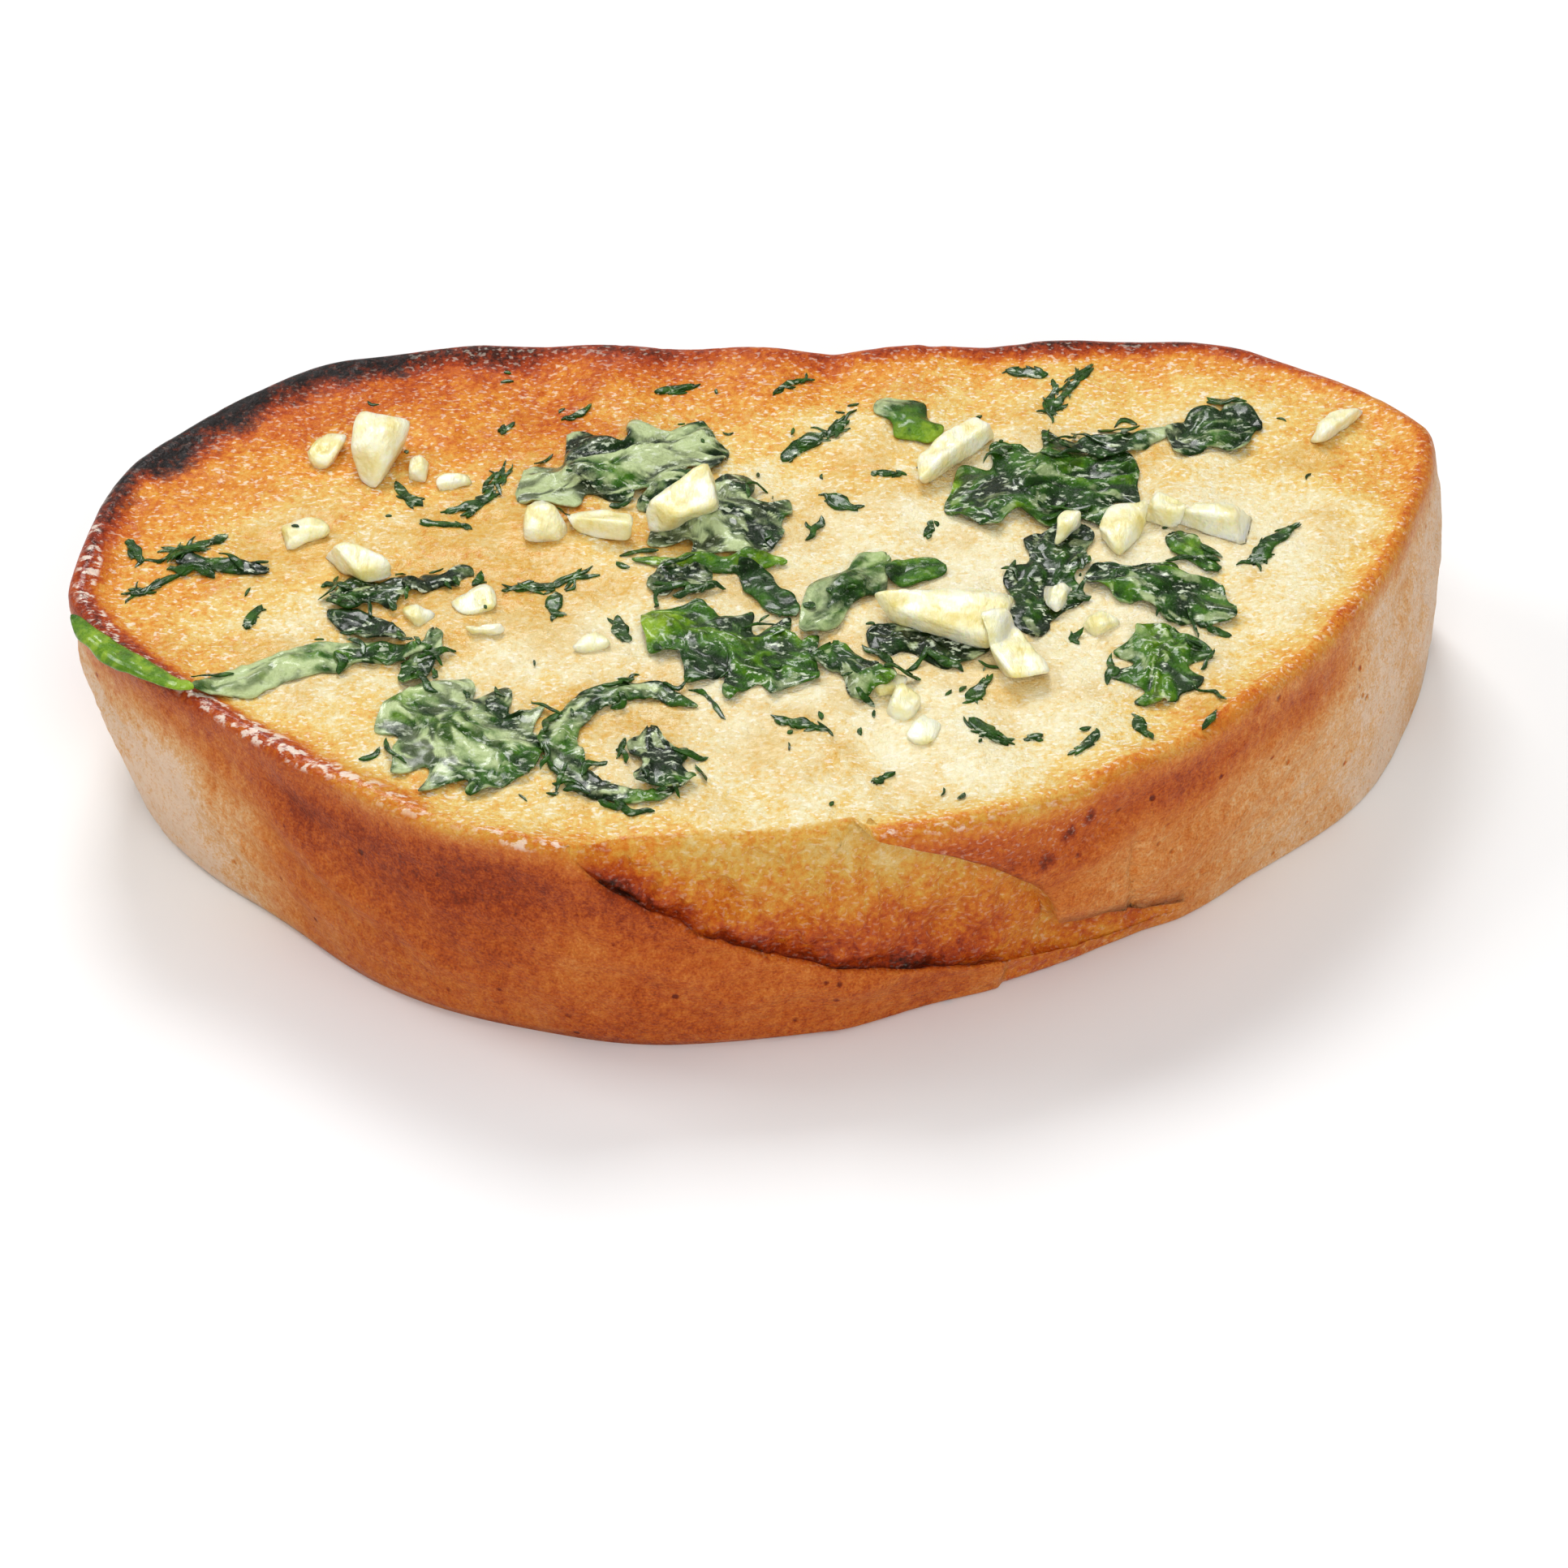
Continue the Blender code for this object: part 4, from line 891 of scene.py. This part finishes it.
def sliver_surface(row, seed):
    """A narrow strip of herb that lies in the face, as a thin closed shell with a ragged edge."""
    x, y, length, width, heading, bend = row
    across, along, index = strip_grid(max(int(length / SLIVER_SQUARE), 8), 5)
    own = vectors(along * length / 2, 0.0, 6.0 * seed)
    half = strand_half(width, along) * (0.85 + 0.6 * grain(own, 1.0, 81))
    side = across * half + 0.25 * grain(own, 2.0, 82)
    x, y, _ = spine(x, y, length, heading, bend, along, side)
    lower = vectors(x, y, face_height(x, y) + crumb_relief(x, y) - SLIVER_SUNK)
    own[:, 1] = across * width / 2
    return thin_shell(lower, SLIVER_STAND + 0.12 * grain(own, 1.1, 83), index)


def shred_rows():
    """Rows like the slivers' for fine torn strands along the leaves and flecks over the face, seeded."""
    draw = np.random.default_rng(SHRED_SEED)
    rows = []
    for x, y, length, _, heading, bend in SLIVERS:
        for _ in range(3 + int(length / 1.5)):
            along = draw.uniform(-0.5, 0.5) * length
            turn = math.radians(heading)
            place = (x + along * math.cos(turn), y + along * math.sin(turn))
            turned = heading + draw.choice([-1, 1]) * draw.uniform(10, 50)
            rows.append((*place, draw.uniform(0.3, 0.6) * length, draw.uniform(0.25, 0.45), turned, bend))
    for leaf in LEAVES:
        for _ in range(int(leaf.length * SHREDS_PER_MM * leaf.torn)):
            along, side = draw.uniform(-1.15, 1.15), draw.choice([-1, 1]) * draw.uniform(0.8, 1.25)
            side = side * leaf.width / 2
            x, y, turn = spine(leaf.x, leaf.y, leaf.length, leaf.heading, leaf.bend, along, side)
            heading = math.degrees(turn) + draw.normal(0, 35)
            sizes = draw.uniform(1.4, 4.5), draw.uniform(0.3, 0.7)
            rows.append((x, y, *sizes, heading, draw.uniform(-70, 70)))
    for _ in range(FLECKS):
        angle, share = draw.uniform(0, 2 * math.pi), math.sqrt(draw.uniform(0, 0.8))
        reach = share * float(rim_radius(angle))
        sizes = draw.uniform(0.4, 1.4), draw.uniform(0.2, 0.36)
        rows.append((reach * math.cos(angle), reach * math.sin(angle), *sizes, draw.uniform(0, 180), 0))
    return [row for row in rows if inside_rim(row[0], row[1]) > SHRED_RIM_GAP]


def shred_surface(row, ground, seed):
    """A limp strand of herb that lies on whatever is under it, as a thin closed shell."""
    x, y, length, width, heading, bend = row
    across, along, index = strip_grid(max(int(length / SHRED_SQUARE), 4), 3)
    own = vectors(along * length / 2, 0.0, 3.0 * seed)
    half = strand_half(width, along) * (1 + 0.6 * grain(own, 0.9, 91))
    side = across * half + 0.5 * grain(own, 1.4, 92)
    x, y, _ = spine(x, y, length, heading, bend, along, side)
    low = ground.drape(x, y) + 0.15 * np.clip(grain(own, 1.3, 93), 0, 1) * min(length / 3, 1)
    return thin_shell(vectors(x, y, low - SHRED_THICKNESS / 2), SHRED_THICKNESS, index)


# Finishes


def srgb(red, green, blue):
    """A colour from display values of 0 to 255."""
    shares = np.array([red, green, blue]) / 255
    linear = np.where(shares <= 0.04045, shares / 12.92, ((shares + 0.055) / 1.055) ** 2.4)
    return (*linear.tolist(), 1.0)


class Finish:
    """A node material under construction: each call adds one node and returns its output."""

    def __init__(self, name):
        self.material = bpy.data.materials.new(name)
        self.material.use_nodes = True
        self.tree = self.material.node_tree
        self.shader = self.tree.nodes["Principled BSDF"]
        self.place = self.node("TexCoord").outputs["Object"]
        marks = self.node("Attribute", attribute_name="marks")
        parted = self.node("SeparateColor", Color=marks.outputs["Color"])
        self.marks = [*parted.outputs[:3], marks.outputs["Alpha"]]

    def node(self, kind, **given):
        """A node of this kind, with settings by their names and sockets by theirs."""
        made = self.tree.nodes.new("ShaderNode" + kind)
        for key, value in given.items():
            if hasattr(made, key):
                setattr(made, key, value)
            else:
                self.feed(made.inputs[key.replace("_", " ")], value)
        return made

    def feed(self, socket, value):
        """Joins an output to a socket, or sets the socket's own value."""
        if isinstance(value, bpy.types.NodeSocket):
            self.tree.links.new(value, socket)
        else:
            socket.default_value = value

    def noise(self, size, detail=3.0, roughness=0.55, stretch=None):
        """Noise from 0 to 1 with features of this size in millimetres, drawn out by stretch."""
        given = {"Scale": 1 / (size * MM), "Detail": detail, "Roughness": roughness, "Vector": self.place}
        if stretch:
            given["Vector"] = self.node("Mapping", Vector=self.place, Scale=stretch).outputs[0]
        return self.node("TexNoise", **given).outputs["Fac"]

    def cells(self, size):
        """Distance to the nearest of scattered points of this spacing in millimetres."""
        return self.node("TexVoronoi", Vector=self.place, Scale=1 / (size * MM)).outputs["Distance"]

    def math(self, operation, first, second, clamp=False):
        """One arithmetic step on two numbers."""
        made = self.node("Math", operation=operation, use_clamp=clamp)
        self.feed(made.inputs[0], first)
        self.feed(made.inputs[1], second)
        return made.outputs[0]

    def times(self, first, second):
        """The product of two numbers."""
        return self.math("MULTIPLY", first, second)

    def plus(self, first, second, clamp=False):
        """The sum of two numbers, kept from 0 to 1 if clamped."""
        return self.math("ADD", first, second, clamp)

    def grained(self, value, noise, amount, clamp=True):
        """A number made uneven by noise, by up to this amount either way."""
        return self.plus(value, self.spread(noise, 0.3, 0.7, -amount, amount), clamp)

    def spread(self, value, low, high, to_low=0.0, to_high=1.0):
        """A number carried from one range to another, and kept inside it."""
        given = {"From Min": low, "From Max": high, "To Min": to_low, "To Max": to_high}
        return self.node("MapRange", Value=value, **given).outputs[0]

    def ramp(self, factor, stops):
        """A colour from a factor, by stops of a place and a colour's three display values."""
        made = self.node("ValToRGB", Fac=factor)
        elements = made.color_ramp.elements
        for _ in stops[2:]:
            elements.new(0.5)
        for element, (place, *colour) in zip(elements, stops):
            element.position = place
            element.color = srgb(*colour)
        return made.outputs["Color"]

    def mix(self, factor, first, second, blend="MIX"):
        """Two colours mixed by a factor."""
        made = self.node("Mix", data_type="RGBA", blend_type=blend)
        for number, value in ((0, factor), (6, first), (7, second)):
            self.feed(made.inputs[number], value)
        return made.outputs[2]

    def bump(self, height, depth):
        """A normal from a height of 0 to 1 that stands for this depth in millimetres."""
        return self.node("Bump", Height=height, Strength=1.0, Distance=depth * MM).outputs["Normal"]

    def set(self, **given):
        """Sets or joins the shader's sockets."""
        for key, value in given.items():
            self.feed(self.shader.inputs[key.replace("_", " ")], value)
        return self.material


def bread_finish():
    """Crumb, crust and char: ramps over the marks, broken up by grain, under a thin coat of butter, with
    painted highlights on the crumb and the buttered rim, and painted shade in the crust's pores.
    """
    finish = Finish("bread")
    toast, char, butter, crust = finish.marks
    grains = finish.noise(0.6, 4, 0.65)
    fine = finish.noise(0.25)
    pores = finish.spread(finish.cells(2.4), 0.05, 0.16, 1.0, 0.0)
    pores = finish.times(finish.times(pores, finish.spread(finish.noise(5.0), 0.5, 0.6)), crust)

    toasted = finish.grained(toast, grains, 0.13, clamp=False)
    toasted = finish.grained(toasted, finish.noise(7.0), 0.06)
    crumb = finish.ramp(toasted, [
        (0.0, 250, 243, 212), (0.16, 242, 229, 184), (0.32, 236, 200, 112), (0.5, 228, 150, 50),
        (0.66, 204, 100, 26), (0.8, 168, 62, 18), (0.93, 112, 40, 16), (1.0, 64, 26, 14),
    ])
    soaked = finish.mix(1.0, crumb, srgb(228, 192, 98), "MULTIPLY")
    crumb = finish.mix(finish.times(butter, 0.85), crumb, soaked)
    # Painted highlight: white glints of wet crumb, fewer on toast and on thick butter.
    painted_crumb_glints = finish.spread(finish.noise(0.36, 1, 0.5, (0.6, 1.0, 1.0)), 0.585, 0.665, 0.0, 0.65)
    painted_crumb_glints = finish.times(painted_crumb_glints, finish.spread(toasted, 0.35, 0.7, 1.0, 0.4))
    painted_crumb_glints = finish.times(painted_crumb_glints, finish.spread(butter, 0.3, 0.6, 1.0, 0.3))
    crumb = finish.mix(painted_crumb_glints, crumb, srgb(255, 250, 232))

    streaks = finish.noise(0.8, 5, 0.7, (1.0, 1.0, 0.75))
    baked = finish.grained(toast, streaks, 0.14, clamp=False)
    baked = finish.grained(baked, fine, 0.12, clamp=False)
    # Painted shade: pores darken the crust, and they also dip in the bump below.
    baked = finish.plus(baked, finish.times(pores, 0.5), clamp=True)
    shell = finish.ramp(baked, [
        (0.0, 236, 204, 174), (0.16, 228, 178, 124), (0.32, 220, 148, 80), (0.5, 206, 116, 44),
        (0.7, 184, 84, 24), (0.86, 150, 56, 14), (1.0, 118, 42, 12),
    ])
    colour = finish.mix(crust, crumb, shell)
    # Painted highlight: streaks of white gleam where butter stands thick on browned crust and crumb.
    gleam = finish.spread(finish.noise(0.9, 3, 0.6, (0.6, 1.0, 1.0)), 0.52, 0.6, 0.0, 0.75)
    painted_gleam_zone = finish.times(finish.spread(butter, 0.82, 0.96), finish.spread(toast, 0.3, 0.5))
    colour = finish.mix(finish.times(gleam, painted_gleam_zone), colour, srgb(255, 240, 222))
    burnt = finish.times(finish.grained(char, grains, 0.3), finish.spread(char, 0.0, 0.15))
    colour = finish.mix(burnt, colour, srgb(30, 26, 25))

    height = finish.plus(finish.times(grains, 0.4), finish.times(fine, 0.45))
    height = finish.plus(height, finish.times(pores, -0.7))
    height = finish.plus(height, finish.times(finish.noise(1.5, 3, 0.6, (0.7, 0.7, 1.6)), crust))
    return finish.set(
        Base_Color=colour,
        Roughness=finish.spread(finish.noise(2.2, 4), 0.35, 0.65, 0.4, 0.65),
        Normal=finish.bump(height, 0.5),
        Specular_IOR_Level=0.2,
        Subsurface_Weight=0.1,
        Subsurface_Radius=(1.0, 0.5, 0.2),
        Subsurface_Scale=0.0012,
        Coat_Weight=finish.spread(butter, 0.1, 1.0, 0.03, 0.27),
        Coat_Roughness=0.12,
        Coat_Normal=finish.bump(finish.noise(0.8, 2), 0.12),
    )


def leaf_finish():
    """A wilted herb leaf, wet with butter: greens by its marks, with pallor that is partly a painted sheen
    where it is turned up, painted shade in its hollows and painted wet highlights.
    """
    finish = Finish("leaf")
    young, pale, dark, wet = finish.marks
    mottle = finish.noise(1.3, 4, 0.6)
    green = finish.ramp(finish.grained(young, mottle, 0.2), [
        (0.0, 14, 32, 8), (0.3, 30, 66, 12), (0.55, 58, 106, 14), (0.8, 96, 138, 18), (1.0, 142, 176, 40),
    ])
    # Pallor: partly the leaf's own pale colour and partly painted sheen and painted ridge highlights.
    pallor_and_sheen = finish.spread(finish.grained(pale, finish.noise(0.8, 4), 0.2), 0.25, 0.95, 0.0, 0.85)
    colour = finish.mix(pallor_and_sheen, green, srgb(202, 217, 160))
    # Painted shade from the dark mark.
    colour = finish.mix(finish.times(dark, 0.8), colour, srgb(11, 30, 6))
    # Painted highlight: white wet glints where the leaf is wet.
    painted_wet_glints = finish.spread(finish.noise(0.55, 3, 0.6, (0.55, 1.0, 1.0)), 0.56, 0.62, 0.0, 0.85)
    painted_wet_glints = finish.times(painted_wet_glints, finish.spread(finish.noise(2.4), 0.4, 0.56))
    colour = finish.mix(finish.times(painted_wet_glints, wet), colour, srgb(218, 228, 200))
    return finish.set(
        Base_Color=colour,
        Roughness=finish.spread(mottle, 0.3, 0.7, 0.2, 0.36),
        Normal=finish.bump(finish.noise(0.55, 4, 0.6), 0.3),
        Specular_IOR_Level=0.2,
        Coat_Weight=finish.spread(finish.noise(1.8), 0.4, 0.6, 0.0, 0.6),
        Coat_Roughness=0.1,
    )


def garlic_finish():
    """Cooked garlic: cream-yellow, slightly translucent, with a thin coat of butter."""
    finish = Finish("garlic")
    fibre = finish.noise(0.5, 4, stretch=(1.0, 0.35, 1.0))
    cloud = [(0.3, 230, 214, 132), (0.45, 244, 234, 180), (0.6, 251, 247, 218)]
    return finish.set(
        Base_Color=finish.ramp(finish.noise(2.5, 4), cloud),
        Roughness=finish.spread(fibre, 0.3, 0.7, 0.26, 0.44),
        Normal=finish.bump(fibre, 0.3),
        Subsurface_Weight=0.5,
        Subsurface_Radius=(1.0, 0.75, 0.3),
        Subsurface_Scale=0.0018,
        Coat_Weight=0.4,
        Coat_Roughness=0.14,
    )


def floor_finish():
    """A plain pale matt floor."""
    return Finish("floor").set(Base_Color=(0.9, 0.9, 0.9, 1.0), Roughness=0.6, Specular_IOR_Level=0.2)


# The studio

CAMERA_AIM = (1.663, -30.094, 24.5)
CAMERA_DISTANCE = 600.0
CAMERA_ELEVATION = 40.0
FRAME_WIDTH = 145.0  # width of the view at the aim
SENSOR = 36.0
FLOOR_SIZE = 6000.0
WORLD_LIGHT = 0.24
LIGHT_AIM = (0.0, 0.0, 15.0)
LIGHT_DISTANCE = 900.0

# Name, azimuth and elevation of the light as seen from the slice, size, power, and whether it gleams.
LIGHTS = [
    ("window", 190.0, 51.0, 320.0, 4.0, True),
    ("left", 250.0, 42.0, 280.0, 2.0, True),
    ("top", 90.0, 80.0, 700.0, 1.75, False),
    ("front", 10.0, 34.0, 700.0, 4.5, False),
]


def make_studio():
    """The floor, the lights and the camera."""
    half = FLOOR_SIZE / 2 * MM
    corners = [(-half, -half, 0), (half, -half, 0), (half, half, 0), (-half, half, 0)]
    mesh = bpy.data.meshes.new("floor")
    mesh.from_pydata(corners, [], [(0, 1, 2, 3)])
    mesh.materials.append(floor_finish())
    linked("floor", mesh)

    world = bpy.data.worlds.new("studio")
    world.use_nodes = True
    sky = world.node_tree.nodes["Background"].inputs
    sky["Color"].default_value = (1.0, 1.0, 1.0, 1.0)
    sky["Strength"].default_value = WORLD_LIGHT
    bpy.context.scene.world = world

    for name, azimuth, elevation, size, power, gleams in LIGHTS:
        light = bpy.data.lights.new(name, "AREA")
        light.size = size * MM
        light.energy = power
        lamp = linked(name, light)
        lamp.location, lamp.rotation_euler = looking_at(LIGHT_AIM, azimuth, elevation, LIGHT_DISTANCE)
        lamp.visible_glossy = gleams

    camera = bpy.data.cameras.new("camera")
    camera.sensor_width = SENSOR
    camera.lens = SENSOR * CAMERA_DISTANCE / FRAME_WIDTH
    camera.clip_start = 0.01
    viewer = linked("camera", camera)
    place, turn = looking_at(CAMERA_AIM, 0.0, CAMERA_ELEVATION, CAMERA_DISTANCE)
    viewer.location, viewer.rotation_euler = place, turn
    bpy.context.scene.camera = viewer
    bpy.context.scene.view_settings.view_transform = "Standard"


def looking_at(aim, azimuth, elevation, distance):
    """Place and turn of something that looks at the aim, in metres; azimuth 0 is in front, at -Y."""
    around, up = math.radians(azimuth), math.radians(elevation)
    back = np.array([math.sin(around) * math.cos(up), -math.cos(around) * math.cos(up), math.sin(up)])
    place = (np.array(aim) + back * distance) * MM
    return place.tolist(), (math.pi / 2 - up, 0.0, around)


def main():
    """The slice, what is set in its face, then leaves, shreds and garlic laid on it, and the studio."""
    bread, leaf, garlic = bread_finish(), leaf_finish(), garlic_finish()
    points, faces, marks = slice_surface()
    new_piece("slice", points, faces, bread, "bread", ["bread"], marks)

    crumbs = [crumb_surface(row, CRUMB_SEED + number) for number, row in enumerate(GARLIC_CRUMBS)]
    new_piece("garlic_crumbs", *joined(crumbs), garlic, "garlic", ["bread"])
    slivers = joined(sliver_surface(row, number) for number, row in enumerate(SLIVERS))
    new_piece("herb_slivers", *slivers, leaf, "leaf", ["bread"], SLIVER_MARKS)

    ground = Ground()
    for points, _ in crumbs:
        ground.pile(points)
    for number, spray in enumerate(LEAVES):
        points, faces, marks = leaf_surface(spray, ground, number)
        new_piece("herb_" + spray.name, points, faces, leaf, "leaf", [spray.name], marks)
        ground.pile(points)
    shreds = joined(shred_surface(row, ground, number) for number, row in enumerate(shred_rows()))
    new_piece("herb_shreds", *shreds, leaf, "leaf", ["bread"], SHRED_MARKS)
    for number, chunk in enumerate(GARLIC):
        points, faces = chunk_surface(chunk, ground, CHUNK_SEED + number)
        new_piece("chopped_" + chunk.name, points, faces, garlic, "garlic", [chunk.name])
        ground.pile(points)
    make_studio()


main()
